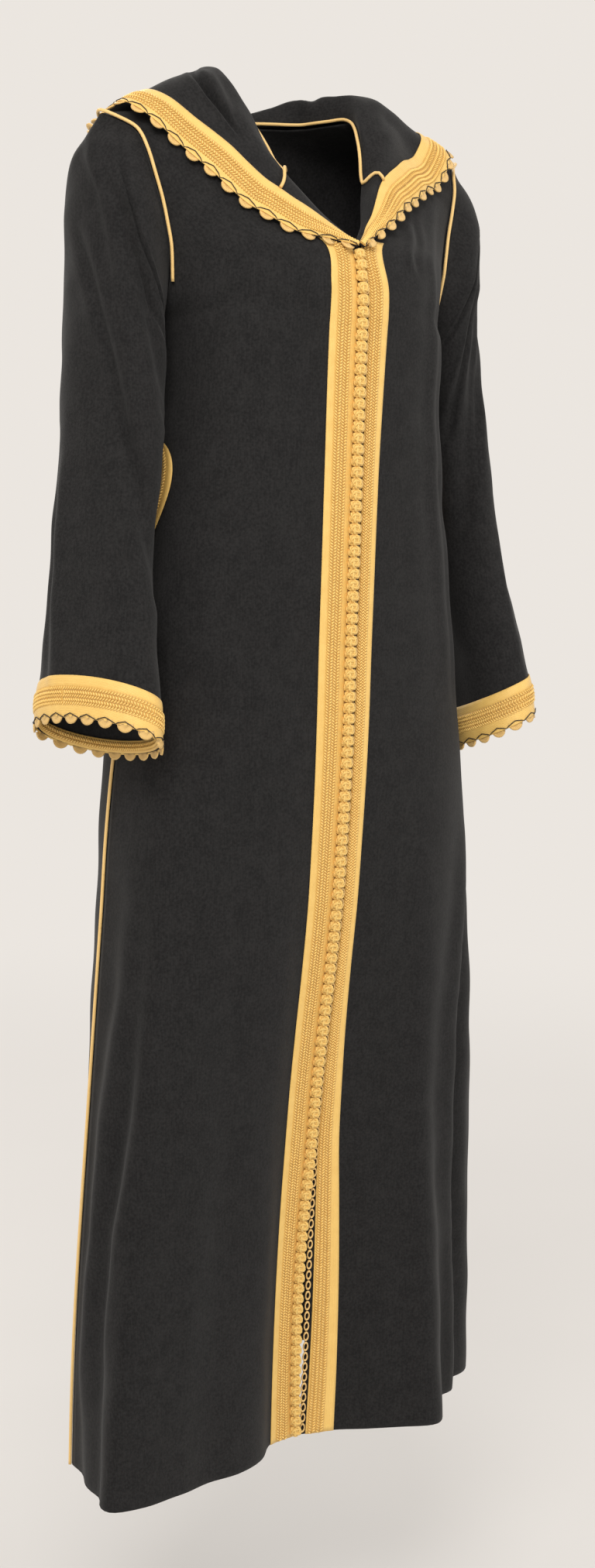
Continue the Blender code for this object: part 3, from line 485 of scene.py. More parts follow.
def finishPiece(thing, slot, *nodes):  # rides on the body and stands for its CAD nodes
    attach(thing, "root")
    if nodes:
        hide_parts(*nodes)
    return thing


# shader groups and materials
def newGroup(name, inputs, outputs):
    group = bpy.data.node_groups.new(name, "ShaderNodeTree")
    for socketName, socketType, value in inputs:
        socket = group.interface.new_socket(name=socketName, in_out="INPUT", socket_type=socketType)
        if value is not None:
            socket.default_value = value
    for socketName, socketType in outputs:
        group.interface.new_socket(name=socketName, in_out="OUTPUT", socket_type=socketType)
    return group, group.nodes.new("NodeGroupInput"), group.nodes.new("NodeGroupOutput")


def mathNode(tree, operation, first, second=None, third=None):
    node = tree.nodes.new("ShaderNodeMath")
    node.operation = operation
    for socket, value in zip(node.inputs, (first, second, third)):
        if value is None:
            continue
        if isinstance(value, (int, float)):
            socket.default_value = value
        else:
            tree.links.new(value, socket)
    return node.outputs[0]


def mixColour(tree, factor, first, second):
    node = tree.nodes.new("ShaderNodeMix")
    node.data_type = "RGBA"
    sockets = (node.inputs[0], node.inputs[6], node.inputs[7])
    for socket, value in zip(sockets, (factor, first, second)):
        if isinstance(value, tuple):
            socket.default_value = (*value, 1.0)
        elif isinstance(value, (int, float)):
            socket.default_value = value
        else:
            tree.links.new(value, socket)
    return node.outputs[2]


def noiseNode(tree, vector, scale, detail=2.0):
    node = tree.nodes.new("ShaderNodeTexNoise")
    node.inputs["Scale"].default_value = scale
    node.inputs["Detail"].default_value = detail
    tree.links.new(vector, node.inputs["Vector"])
    return node.outputs["Fac"]


def weaveGroup():  # plain weave: threads over and under, from a UV map in metres
    group, given, result = newGroup(
        "plainWeave", [("Vector", "NodeSocketVector", None), ("Pitch", "NodeSocketFloat", 0.0008)],
        [("Height", "NodeSocketFloat"), ("Slub", "NodeSocketFloat")])
    split = group.nodes.new("ShaderNodeSeparateXYZ")
    group.links.new(given.outputs["Vector"], split.inputs[0])
    turns = mathNode(group, "DIVIDE", math.pi, given.outputs["Pitch"])
    u = mathNode(group, "MULTIPLY", split.outputs[0], turns)
    v = mathNode(group, "MULTIPLY", split.outputs[1], turns)
    warp = mathNode(group, "ABSOLUTE", mathNode(group, "SINE", u))
    weft = mathNode(group, "ABSOLUTE", mathNode(group, "SINE", v))
    over = mathNode(group, "MULTIPLY", mathNode(group, "COSINE", u), mathNode(group, "COSINE", v))
    over = mathNode(group, "MULTIPLY_ADD", over, 0.5, 0.5)
    high = mathNode(group, "MULTIPLY", warp, over)
    low = mathNode(group, "MULTIPLY", weft, mathNode(group, "SUBTRACT", 1.0, over))
    group.links.new(mathNode(group, "ADD", high, low), result.inputs["Height"])
    stretch = group.nodes.new("ShaderNodeMapping")
    stretch.inputs["Scale"].default_value = (1.0, 0.06, 1.0)
    group.links.new(given.outputs["Vector"], stretch.inputs["Vector"])
    across = noiseNode(group, stretch.outputs[0], 900, 2.0)
    group.links.new(across, result.inputs["Slub"])
    return group


def goldGroup():  # silky gold thread: fine lines along the braid, with painted shade between the stitches and painted highlight on their tops
    group, given, result = newGroup(
        "goldThread",
        [("Vector", "NodeSocketVector", None), ("PaintedLight", "NodeSocketFloat", 0.8),
         ("Pitch", "NodeSocketFloat", 0.0013),
         ("ShadedGold", "NodeSocketColor", None), ("LitGold", "NodeSocketColor", None)],
        [("Color", "NodeSocketColor"), ("Height", "NodeSocketFloat"),
         ("Roughness", "NodeSocketFloat")])
    split = group.nodes.new("ShaderNodeSeparateXYZ")
    group.links.new(given.outputs["Vector"], split.inputs[0])
    turns = mathNode(group, "DIVIDE", math.pi, given.outputs["Pitch"])
    lines = mathNode(group, "ABSOLUTE", mathNode(group, "SINE",
                     mathNode(group, "MULTIPLY", split.outputs[0], turns)))
    fine = noiseNode(group, given.outputs["Vector"], 1400, 3.0)
    slow = noiseNode(group, given.outputs["Vector"], 90, 2.0)
    # painted light: the input given by the caller lifts the colour from painted shade (0) to painted
    # highlight (1); thread lines and noise vary it
    shade = mathNode(group, "MULTIPLY_ADD", lines, 0.30, given.outputs["PaintedLight"])
    shade = mathNode(group, "ADD", shade, mathNode(group, "MULTIPLY_ADD", fine, 0.5, -0.25))
    shade = mathNode(group, "ADD", shade, mathNode(group, "MULTIPLY_ADD", slow, 0.5, -0.40))
    clean = group.nodes.new("ShaderNodeClamp")
    group.links.new(shade, clean.inputs[0])
    colour = mixColour(group, clean.outputs[0], given.outputs["ShadedGold"], given.outputs["LitGold"])
    group.links.new(colour, result.inputs["Color"])
    height = mathNode(group, "MULTIPLY_ADD", fine, 0.35, lines)
    group.links.new(height, result.inputs["Height"])
    group.links.new(mathNode(group, "MULTIPLY_ADD", clean.outputs[0], -0.20, 0.62),
                    result.inputs["Roughness"])
    return group


weave = weaveGroup()
goldThread = goldGroup()


def newMaterial(name):
    material = bpy.data.materials.new(name)
    material.use_nodes = True
    tree = material.node_tree
    return material, tree, tree.nodes["Principled BSDF"]


def bump(tree, shader, height, strength, distance):
    node = tree.nodes.new("ShaderNodeBump")
    node.inputs["Strength"].default_value = strength
    node.inputs["Distance"].default_value = distance
    tree.links.new(height, node.inputs["Height"])
    tree.links.new(node.outputs["Normal"], shader.inputs["Normal"])


clothLook = {"dark": (0.0058, 0.0057, 0.0060), "light": (0.0165, 0.0160, 0.0162),
             "threadPitch": 0.0009, "roughness": 0.88, "sheen": 0.06, "sheenRoughness": 0.5,
             "specular": 0.25, "bump": 0.35, "bumpDepth": 0.0002}


def clothMaterial():
    material, tree, shader = newMaterial("black_plain_weave")
    uv = tree.nodes.new("ShaderNodeUVMap")
    uv.uv_map = "UVMap"
    group = tree.nodes.new("ShaderNodeGroup")
    group.node_tree = weave
    group.inputs["Pitch"].default_value = clothLook["threadPitch"]
    tree.links.new(uv.outputs[0], group.inputs["Vector"])
    place = tree.nodes.new("ShaderNodeTexCoord")
    mottle = noiseNode(tree, place.outputs["Object"], 60, 3.0)
    grains = noiseNode(tree, place.outputs["Object"], 420, 2.0)
    shade = mathNode(tree, "MULTIPLY_ADD", group.outputs["Slub"], 1.2, -0.60)
    shade = mathNode(tree, "ADD", shade, mathNode(tree, "MULTIPLY_ADD", mottle, 1.0, -0.10))
    shade = mathNode(tree, "ADD", shade, mathNode(tree, "MULTIPLY_ADD", grains, 2.4, -1.10))
    tree.links.new(mixColour(tree, shade, clothLook["dark"], clothLook["light"]),
                   shader.inputs["Base Color"])
    shader.inputs["Roughness"].default_value = clothLook["roughness"]
    shader.inputs["Sheen Weight"].default_value = clothLook["sheen"]
    shader.inputs["Sheen Roughness"].default_value = clothLook["sheenRoughness"]
    shader.inputs["Specular IOR Level"].default_value = clothLook["specular"]
    height = mathNode(tree, "MULTIPLY_ADD", grains, 1.2, group.outputs["Height"])
    bump(tree, shader, height, clothLook["bump"], clothLook["bumpDepth"])
    return material


# low: the gold's colour in painted shade. high and pale: its colour in painted highlight, for the
# braid and knots and for the paler cords and crochet.
goldLook = {"low": (0.70, 0.41, 0.090), "high": (0.98, 0.67, 0.21),
            "pale": (0.91, 0.62, 0.25), "sheen": 0.10, "specular": 0.45, "bumpDepth": 0.0003}


def goldMaterial(name, high, pitch, strength, paintedLight=None):
    # pitch: of the fine thread lines. strength: of the bump. The last argument is the painted light:
    # 0 painted shade deep in the braid, 1 painted highlight on top of a stitch.
    material, tree, shader = newMaterial(name)
    uv = tree.nodes.new("ShaderNodeUVMap")
    uv.uv_map = "UVMap"
    group = tree.nodes.new("ShaderNodeGroup")
    group.node_tree = goldThread
    group.inputs["Pitch"].default_value = pitch
    group.inputs["ShadedGold"].default_value = (*goldLook["low"], 1)
    group.inputs["LitGold"].default_value = (*high, 1)
    tree.links.new(uv.outputs[0], group.inputs["Vector"])
    if paintedLight is None:
        attribute = tree.nodes.new("ShaderNodeAttribute")
        attribute.attribute_name = "paintedLight"
        tree.links.new(attribute.outputs["Fac"], group.inputs["PaintedLight"])
    else:
        group.inputs["PaintedLight"].default_value = paintedLight
    tree.links.new(group.outputs["Color"], shader.inputs["Base Color"])
    tree.links.new(group.outputs["Roughness"], shader.inputs["Roughness"])
    shader.inputs["Sheen Weight"].default_value = goldLook["sheen"]
    shader.inputs["Specular IOR Level"].default_value = goldLook["specular"]
    bump(tree, shader, group.outputs["Height"], strength, goldLook["bumpDepth"])
    return material


threadLook = {"dark": (0.008, 0.006, 0.006), "light": (0.035, 0.026, 0.022), "fuzzScale": 900,
              "roughness": 0.75, "bump": 0.4, "bumpDepth": 0.0003}


def threadMaterial():
    material, tree, shader = newMaterial("black_thread")
    place = tree.nodes.new("ShaderNodeTexCoord")
    fuzz = noiseNode(tree, place.outputs["Object"], threadLook["fuzzScale"], 2.0)
    tree.links.new(mixColour(tree, fuzz, threadLook["dark"], threadLook["light"]),
                   shader.inputs["Base Color"])
    shader.inputs["Roughness"].default_value = threadLook["roughness"]
    bump(tree, shader, fuzz, threadLook["bump"], threadLook["bumpDepth"])
    return material


blackCloth = clothMaterial()
# braid: painted light from each point. cords, knots and crochet: the last number, one even level of
# painted light between painted shade and painted highlight
braidGold = goldMaterial("gold_plaited_braid", goldLook["high"], 0.0013, 0.5)
cordGold = goldMaterial("gold_sewn_cord", goldLook["pale"], 0.0009, 0.5, 0.75)
knotGold = goldMaterial("gold_knot_cord", goldLook["high"], 0.0007, 0.6, 0.70)
crochetGold = goldMaterial("gold_crochet", goldLook["pale"], 0.0011, 0.9, 0.55)
blackThread = threadMaterial()
print("materials made")

# body cloth
cloth = {"thickness": 0.0016, "skirtRows": 200, "chestRows": 56, "frontColumns": 62,
         "backColumns": 60, "unevenSize": 0.16, "unevenDepth": 0.0007}
# where the folds fade out: at the side seam, shoulder, front braid, centre back and armhole
calmZones = {"side": 0.030, "shoulderFrom": -0.020, "shoulderOver": 0.030, "braidTo": 0.040,
             "braidOver": 0.025, "centreBack": 0.35, "centreOver": 0.02, "armholeFrom": -0.30,
             "armholeRise": 0.05, "armholeOver": 0.03}

frontFolds = {
    right: (
        foldLine(((-1.45, 0.352), (-1.22, 0.335), (-1.10, 0.298), (-0.99, 0.276), (-0.86, 0.241),
              (-0.72, 0.228)), 0.016, -0.006),
        foldLine(((-1.45, 0.318), (-1.19, 0.295), (-1.05, 0.262), (-0.93, 0.232), (-0.80, 0.222)),
             0.012, 0.005),
        foldLine(((-1.22, 0.285), (-1.09, 0.256), (-0.994, 0.224), (-0.858, 0.210), (-0.76, 0.204)),
             0.013, -0.004),
        foldLine(((-1.45, 0.120), (-1.20, 0.112), (-1.02, 0.098)), 0.022, 0.0025),
        foldLine(((-1.45, 0.190), (-1.25, 0.182), (-1.08, 0.160), (-0.90, 0.150)), 0.020, -0.003),
        foldLine(((-0.46, 0.205), (-0.40, 0.150), (-0.36, 0.110)), 0.014, 0.0014),
        foldLine(((-0.30, 0.180), (-0.235, 0.150), (-0.19, 0.120)), 0.010, 0.0016),
        foldLine(((-0.13, 0.120), (-0.09, 0.085), (-0.06, 0.060)), 0.009, 0.0014),
        foldLine(((-0.80, 0.130), (-0.62, 0.120), (-0.45, 0.105)), 0.024, 0.0016),
    ),
    left: (
        foldLine(((-1.45, 0.262), (-1.295, 0.238), (-1.229, 0.222), (-1.116, 0.190), (-1.013, 0.180),
              (-0.932, 0.174), (-0.855, 0.180), (-0.72, 0.196)), 0.015, -0.009),
        foldLine(((-1.45, 0.300), (-1.229, 0.262), (-1.116, 0.226), (-0.95, 0.208), (-0.78, 0.214)),
             0.015, 0.009),
        foldLine(((-0.60, 0.142), (-0.529, 0.134), (-0.407, 0.112), (-0.317, 0.104), (-0.184, 0.106),
              (-0.085, 0.088)), 0.009, -0.0028),
        foldLine(((-0.62, 0.165), (-0.50, 0.152), (-0.38, 0.132), (-0.27, 0.126), (-0.20, 0.126)),
             0.008, 0.0020),
        foldLine(((-0.185, 0.068), (-0.149, 0.057), (-0.125, 0.050)), 0.005, -0.0018),
        foldLine(((-0.190, 0.080), (-0.150, 0.070), (-0.115, 0.060)), 0.005, 0.0016),
        foldLine(((-1.45, 0.110), (-1.20, 0.100), (-1.00, 0.092)), 0.020, 0.0022),
        foldLine(((-0.46, 0.190), (-0.40, 0.150), (-0.36, 0.115)), 0.014, 0.0014),
    ),
}
backFolds = {
    right: (
        foldLine(((-1.45, 0.060), (-1.10, 0.052), (-0.78, 0.048)), 0.018, 0.005),
        foldLine(((-1.45, 0.150), (-1.05, 0.128), (-0.84, 0.118)), 0.020, -0.005),
        foldLine(((-0.62, 0.100), (-0.45, 0.090), (-0.30, 0.100)), 0.022, 0.003),
        foldLine(((-0.40, 0.150), (-0.31, 0.110), (-0.26, 0.070)), 0.012, 0.0022),
        foldLine(((-0.22, 0.150), (-0.16, 0.110), (-0.12, 0.080)), 0.012, 0.0024),
    ),
    left: (
        foldLine(((-1.45, 0.085), (-1.15, 0.074), (-0.90, 0.060)), 0.018, -0.005),
        foldLine(((-1.45, 0.180), (-1.00, 0.150), (-0.72, 0.130)), 0.022, 0.006),
        foldLine(((-0.70, 0.080), (-0.50, 0.076), (-0.36, 0.090)), 0.020, 0.003),
        foldLine(((-0.36, 0.150), (-0.29, 0.118), (-0.24, 0.086)), 0.012, 0.0020),
        foldLine(((-0.20, 0.140), (-0.15, 0.105), (-0.10, 0.070)), 0.012, 0.0022),
    ),
}


def finePanel(side, face):
    coarse = panels[side, face]
    rowsAt = np.concatenate([
        np.linspace(body["hemHeight"], body["underarmHeight"], cloth["skirtRows"] + 1),
        np.linspace(body["underarmHeight"], chestHeights[-1], cloth["chestRows"] + 1)[1:]])
    steps = np.linalg.norm(np.diff(coarse, axis=1), axis=2).mean(0)
    keys = np.concatenate([[0], np.cumsum(steps)])
    if face == front:
        braidTo = keys[2]
        near = np.concatenate([np.linspace(0, keys[1], 4), np.linspace(keys[1], braidTo, 11)[1:]])
        columnsAt = np.concatenate([near, np.linspace(braidTo, keys[-1],
                                                      cloth["frontColumns"] - len(near) + 1)[1:]])
    else:
        columnsAt = np.linspace(0, keys[-1], cloth["backColumns"])
    grid = refined(coarse, bodyHeights, rowsAt, keys, columnsAt)
    turn = side if face == front else -side
    across = lengthUVs(grid)[..., 0]
    folds = frontFolds[side] if face == front else backFolds[side]
    depth = foldDepth(grid[..., 2], across, folds)
    depth += softUneven(grid, cloth["unevenSize"], cloth["unevenDepth"])
    zone = calmZones
    toSide = across[:, -1:] - across
    calm = ease(toSide / zone["side"])
    calm *= ease((zone["shoulderFrom"] - grid[..., 2]) / zone["shoulderOver"])
    if face == front:
        calm *= ease((across - zone["braidTo"]) / zone["braidOver"])
    else:
        calm *= zone["centreBack"] + (1 - zone["centreBack"]) * ease(across / zone["centreOver"])
    armhole = ease((grid[..., 2] - zone["armholeFrom"]) / zone["armholeRise"])
    armhole *= ease((zone["armholeOver"] - toSide) / zone["armholeOver"])
    return grid - normalsOf(grid, turn) * (depth * calm * (1 - armhole))[..., None]


fine = {key: finePanel(*key) for key in panels}
braidColumns = {right: slice(2, 14), left: slice(3, 14)}


def backCloth():  # both halves in one mesh, sharing the centre line below the neck
    halves = {side: fine[side, back] for side in (right, left)}
    rows, columns = halves[right].shape[:2]
    points, faces, uvs, numbers = [], [], [], {}
    for side in (right, left):
        sideUVs = lengthUVs(halves[side]) * np.array([side, 1])
        for r in range(rows):
            shared = abs(halves[right][r, 0, 0]) < 0.0012
            for c in range(columns):
                if c == 0 and shared and side == left:
                    numbers[side, r, c] = numbers[right, r, c]
                    continue
                point = halves[side][r, c].copy()
                if c == 0 and shared:
                    point = (halves[right][r, 0] + halves[left][r, 0]) / 2
                    point[0] = 0.0
                numbers[side, r, c] = len(points)
                points.append(point)
        for r in range(rows - 1):
            for c in range(columns - 1):
                corners = [(r, c), (r, c + 1), (r + 1, c + 1), (r + 1, c)]
                if side == left:
                    corners = corners[::-1]
                faces.append([numbers[(side, *corner)] for corner in corners])
                uvs += [sideUVs[corner] for corner in corners]
    thing = makeMesh("backCloth", points, faces, uvs, blackCloth)
    giveWall(thing, cloth["thickness"], -1)
    return thing


fronts = {}
for side in (right, left):
    fronts[side] = clothSheet("frontCloth_" + sideNames[side], fine[side, front], side, blackCloth,
                              cloth["thickness"])
    finishPiece(fronts[side], "black_cloth", "front_" + sideNames[side])
backPiece = finishPiece(backCloth(), "black_cloth", "back")
print("fronts and back made")

# sleeves
sleeve = {"rings": 132, "around": 120, "unevenSize": 0.11, "unevenDepth": 0.0006}
wideFold = namedtuple("wideFold", "topRing topAngle endRing endAngle width depth")
wideFolds = {  # angle 0 is the outer side, 90 the front, 180 the inner side
    right: (wideFold(0, 40, 4, 118, 24, 0.008), wideFold(3, -5, 8, 125, 22, 0.009),
            wideFold(5, -15, 11, -14, 11, -0.004), wideFold(4, -62, 11, -44, 20, 0.005),
            wideFold(5, 190, 10, 240, 30, 0.006)),
    left: (wideFold(2, 58, 7, 140, 20, 0.008), wideFold(4, 20, 9, 66, 18, 0.006),
           wideFold(6, 215, 11, 170, 26, 0.007), wideFold(3, 290, 9, 320, 26, 0.006)),
}
ringCreases = {  # stations (ring, angle), width in degrees
    right: (foldLine(((1.6, -12), (3, 18), (4, 36), (5, 56), (6.4, 92)), 7, 0.0050),
            foldLine(((-0.6, 0), (0.4, 14), (1, 30), (2, 40), (3, 50), (4.4, 58)), 8, -0.0035),
            foldLine(((5.5, -30), (7, -28), (9, -27), (10.6, -26)), 7, 0.0030),
            foldLine(((7, 40), (8.5, 46), (10.4, 42)), 14, -0.0012),
            foldLine(((1.5, 250), (3.5, 225), (5.5, 205)), 12, 0.0040),
            foldLine(((0.5, 300), (2.5, 285), (5.0, 262)), 12, 0.0035),
            foldLine(((5, 315), (7, 300), (10, 296)), 11, 0.0030)),
    left: (foldLine(((1.4, 62), (2.3, 88), (3, 108), (4.2, 132)), 7, 0.0045),
           foldLine(((2.6, 48), (4, 70), (5.4, 94)), 8, 0.0035),
           foldLine(((0.2, 40), (1.5, 52), (3, 60), (4.4, 66)), 8, -0.0025),
           foldLine(((6, 60), (8, 72), (10.2, 80)), 10, -0.0020),
           foldLine(((1.5, 250), (3.5, 228), (5.5, 210)), 12, 0.0040),
           foldLine(((0.5, 300), (2.5, 284), (5.0, 266)), 12, 0.0035),
           foldLine(((5, 350), (7, 345), (10, 344)), 10, 0.0030)),
}
angleCreases = {  # stations (angle, ring), width in rings
    right: (foldLine(((4, -1.3), (18, -0.9), (54, 0.05), (72, 0.75), (104, 0.95), (130, 0.6)), 0.13,
                 0.0045),
            foldLine(((50, 1.3), (90, 1.9), (130, 1.6)), 0.16, 0.0028)),
    left: (foldLine(((40, 0.5), (75, 1.1), (125, 0.9)), 0.14, 0.0035),),
}
fineSleeves = {}


def fineSleeve(side):
    coarse = sleeveGrid(side)
    count = coarse.shape[1]
    padded = np.concatenate([coarse[:, -2:], coarse, coarse[:, :3]], 1)
    ringKeys = np.arange(-1, len(sleeveRings))
    rowsAt = np.concatenate([np.linspace(-1, 10, sleeve["rings"]), np.linspace(10, 11, 13)[1:]])
    columnKeys = np.arange(-2, count + 3) * 360 / count
    columnsAt = np.linspace(0, 360, sleeve["around"], endpoint=False)
    grid = refined(padded, ringKeys, rowsAt, columnKeys, columnsAt)
    ring, angle = np.meshgrid(rowsAt, columnsAt, indexing="ij")
    depth = np.zeros(ring.shape)
    for fold in wideFolds[side]:
        share = (ring - fold.topRing) / (fold.endRing - fold.topRing)
        middle = fold.topAngle + (fold.endAngle - fold.topAngle) * share
        away = (angle - middle + 180) % 360 - 180
        inside = ease((share + 0.08) / 0.08) * ease((1.08 - share) / 0.08)
        swell = np.sin(math.pi * np.clip(share, 0.08, 0.92)) * inside
        depth += fold.depth * swell * np.exp(-(away / fold.width) ** 2)
    depth += foldDepth(ring, (angle + 60) % 360 - 60, ringCreases[side], 360)
    depth += foldDepth(angle, ring, angleCreases[side])
    depth += softUneven(grid, sleeve["unevenSize"], sleeve["unevenDepth"])
    depth *= ease((ring + 1) / 0.45)
    depth *= 0.25 + 0.75 * ease((10.6 - ring) / 0.9)
    return grid - normalsOf(grid, side, True) * depth[..., None]


sleeves = {}
for side in (right, left):
    fineSleeves[side] = fineSleeve(side)
    sleeves[side] = clothSheet("sleeveCloth_" + sideNames[side], fineSleeves[side], side, blackCloth,
                               cloth["thickness"], True)
    finishPiece(sleeves[side], "black_cloth", "sleeve_" + sideNames[side])
print("sleeves made")

# hood
hoodFine = {"columns": 160, "rows": 56, "braidRows": 13, "unevenSize": 0.09,
            "unevenDepth": 0.0006}
hoodFolds = {  # stations (column, row), width in rows
    right: (foldLine(((8.8, 6.6), (10.0, 6.1), (11.2, 5.7), (12.4, 5.0), (13.4, 4.2)), 0.34, 0.0075),
            foldLine(((9.4, 5.3), (11.0, 4.6), (12.6, 3.8)), 0.60, -0.0030),
            foldLine(((13.5, 4.0), (16, 5.5), (18.5, 6.0)), 0.9, 0.004)),
    left: (foldLine(((9.5, 4.2), (11, 4.8), (12.8, 5.2)), 0.8, 0.0016),
           foldLine(((13.5, 4.5), (16, 5.0), (18.5, 6.5)), 0.9, 0.004)),
}
fineHoods = {}


def fineHood(side):
    coarse = hoodGrid(side)
    columnsAt = np.linspace(0, hood["columns"], hoodFine["columns"] + 1)
    rowKeys = np.arange(coarse.shape[1], dtype=float)
    rowsAt = np.concatenate([np.linspace(0, 9, hoodFine["rows"] + 1),
                             np.linspace(9, 11, hoodFine["braidRows"])[1:]])
    grid = refined(coarse, np.arange(hood["columns"] + 1), columnsAt, rowKeys, rowsAt)
    column, row = np.meshgrid(columnsAt, rowsAt, indexing="ij")
    depth = foldDepth(column, row, hoodFolds[side])
    depth += softUneven(grid, hoodFine["unevenSize"], hoodFine["unevenDepth"])
    # no folds at the seam, at the braid and at the centre back
    depth *= ease(row) * ease((9.6 - row) / 1.2) * ease((19.6 - column) / 1.5)
    return grid - normalsOf(grid, side) * depth[..., None]


hoods = {}
for side in (right, left):
    fineHoods[side] = fineHood(side)
    hoods[side] = clothSheet("hoodCloth_" + sideNames[side], fineHoods[side], side, blackCloth,
                             cloth["thickness"])
    finishPiece(hoods[side], "black_cloth", "hood_" + sideNames[side])
print("hood made")

# flat braids
braid = {"lift": 0.0004, "edge": 0.0007, "border": 0.0010, "plait": 0.0015,
         "stitchLength": 0.0060, "stitchWidth": 0.0022, "stitchHeight": 0.0014,
         "stitchPitch": 0.0028, "stitchFoot": 0.0001, "stitchRoot": 0.0003, "slant": 36}


def profileHeight(u, plait):  # how high the braid stands above the cloth at a place across it
    low, high = plait
    inside = np.clip((u - low) / (high - low), 0, 1)
    swell = np.sin(math.pi * inside) ** 0.5 * ((u > low) & (u < high))
    return braid["border"] + (braid["plait"] - braid["border"]) * swell


def stitchLumps(outer, normals, lengths, width, plait, stitchRows, start, turn):
    # small slanted stitches that lean the other way in every second row
    low, high = plait
    rows, columns = outer.shape[:2]
    points, faces, uvs, paintedLight = [], [], [], []
    ringAngles = np.arange(6) * math.pi / 3
    for k in range(stitchRows):
        u = low + (high - low) * (k + 0.5) / stitchRows
        stations = np.arange(braid["stitchPitch"] * (0.5 + 0.5 * (k % 2)), lengths[-1] - 0.001,
                             braid["stitchPitch"])
        atRow = np.interp(stations, lengths, np.arange(rows))
        atColumn = u / width * (columns - 1)
        c0 = min(int(atColumn), columns - 2)
        fc = atColumn - c0
        r0 = np.minimum(atRow.astype(int), rows - 2)
        fr = (atRow - r0)[:, None]
        base = ((outer[r0, c0] * (1 - fc) + outer[r0, c0 + 1] * fc) * (1 - fr)
                + (outer[r0 + 1, c0] * (1 - fc) + outer[r0 + 1, c0 + 1] * fc) * fr)
        along = outer[r0 + 1, c0] - outer[r0, c0]
        along /= np.linalg.norm(along, axis=1)[:, None]
        up = normals[r0, c0]
        across = outer[r0, c0 + 1] - outer[r0, c0]
        across -= along * np.sum(across * along, 1)[:, None]
        across /= np.linalg.norm(across, axis=1)[:, None]
        turned = math.radians(braid["slant"] if k % 2 else -braid["slant"])
        long = across * math.cos(turned) + along * math.sin(turned)
        short = along * math.cos(turned) - across * math.sin(turned)
        for i, station in enumerate(stations):
            first = start + len(points)
            points += [base[i] + long[i] * (math.cos(a) * braid["stitchLength"] / 2)
                       + short[i] * (math.sin(a) * braid["stitchWidth"] / 2)
                       + up[i] * braid["stitchFoot"] for a in ringAngles]
            points.append(base[i] + up[i] * braid["stitchHeight"])
            points.append(base[i] - up[i] * braid["stitchRoot"])
            # painted light on each stitch: painted highlight on its top, painted shade round its
            # foot and at its root
            paintedLight += [0.30] * 6 + [1.0, 0.0]
            for j in range(6):
                after = (j + 1) % 6
                around = (first + j, first + after) if turn > 0 else (first + after, first + j)
                faces.append((*around, first + 6))
                faces.append((*around[::-1], first + 7))
                uvs += [(u, station)] * 6
    return points, faces, uvs, paintedLight


def flatBraid(name, base, turn, plait, stitchRows, ring=False, lift=braid["lift"]):
    # base: the cloth's points under the braid, rows along it and columns across it
    if ring:
        base = np.concatenate([base, base[:1]], 0)
    normals = normalsOf(base, turn)
    if ring:
        ends = normals[0] + normals[-1]
        normals[0] = normals[-1] = ends / np.linalg.norm(ends, axis=1)[:, None]
    widths = np.linalg.norm(np.diff(base, axis=1), axis=2).mean(0)
    u = np.concatenate([[0], np.cumsum(widths)])
    height = profileHeight(u, plait)
    height[0] = height[-1] = braid["edge"]
    inner = base + normals * lift
    outer = base + normals * (lift + height)[None, :, None]
    lengths = lengthsAlong(base[:, base.shape[1] // 2])
    rows = len(base)
    loop = np.concatenate([outer, inner[:, ::-1]], 1)
    loopU = np.concatenate([u, u[::-1]])
    wide = loop.shape[1]
    uvs = np.stack([np.repeat(np.append(loopU, loopU[0])[None], rows, 0),
                    np.repeat(lengths[:, None], wide + 1, 1)], -1)
    if ring:
        loop = loop[:-1]
    points = list(loop.reshape(-1, 3))
    faces, corners = [], []
    sections = len(loop)
    for r in range(sections if ring else sections - 1):
        for c in range(wide):
            after, below = (c + 1) % wide, (r + 1) % sections
            quad = [r * wide + c, r * wide + after, below * wide + after, below * wide + c]
            corner = [uvs[r, c], uvs[r, c + 1], uvs[r + 1, c + 1], uvs[r + 1, c]]
            faces.append(quad if turn > 0 else quad[::-1])
            corners += corner if turn > 0 else corner[::-1]
    if not ring:
        caps = [list(range(wide)), [(sections - 1) * wide + c for c in range(wide)]]
        caps = [caps[0][::-1], caps[1]] if turn > 0 else [caps[0], caps[1][::-1]]
        faces += caps
        corners += [(0.0, 0.0)] * (2 * wide)
    # painted shade: the plait under the stitches is painted darker than the plain border
    level = np.where((u > plait[0] - 1e-6) & (u < plait[1] + 1e-6), 0.05, 0.50)
    paintedLight = list(np.tile(np.concatenate([level, level[::-1]]), sections))
    more = stitchLumps(outer, normals, lengths, u[-1], plait, stitchRows, len(points), turn)
    return makeMesh(name, points + more[0], faces + more[1], corners + more[2], braidGold,
                    paintedLight + more[3])


def pastRim(base, overhang):  # one more column of points, a little beyond the rim
    return np.concatenate([base, base[:, -1:] + (base[:, -1:] - base[:, -2:-1]) * overhang], 1)


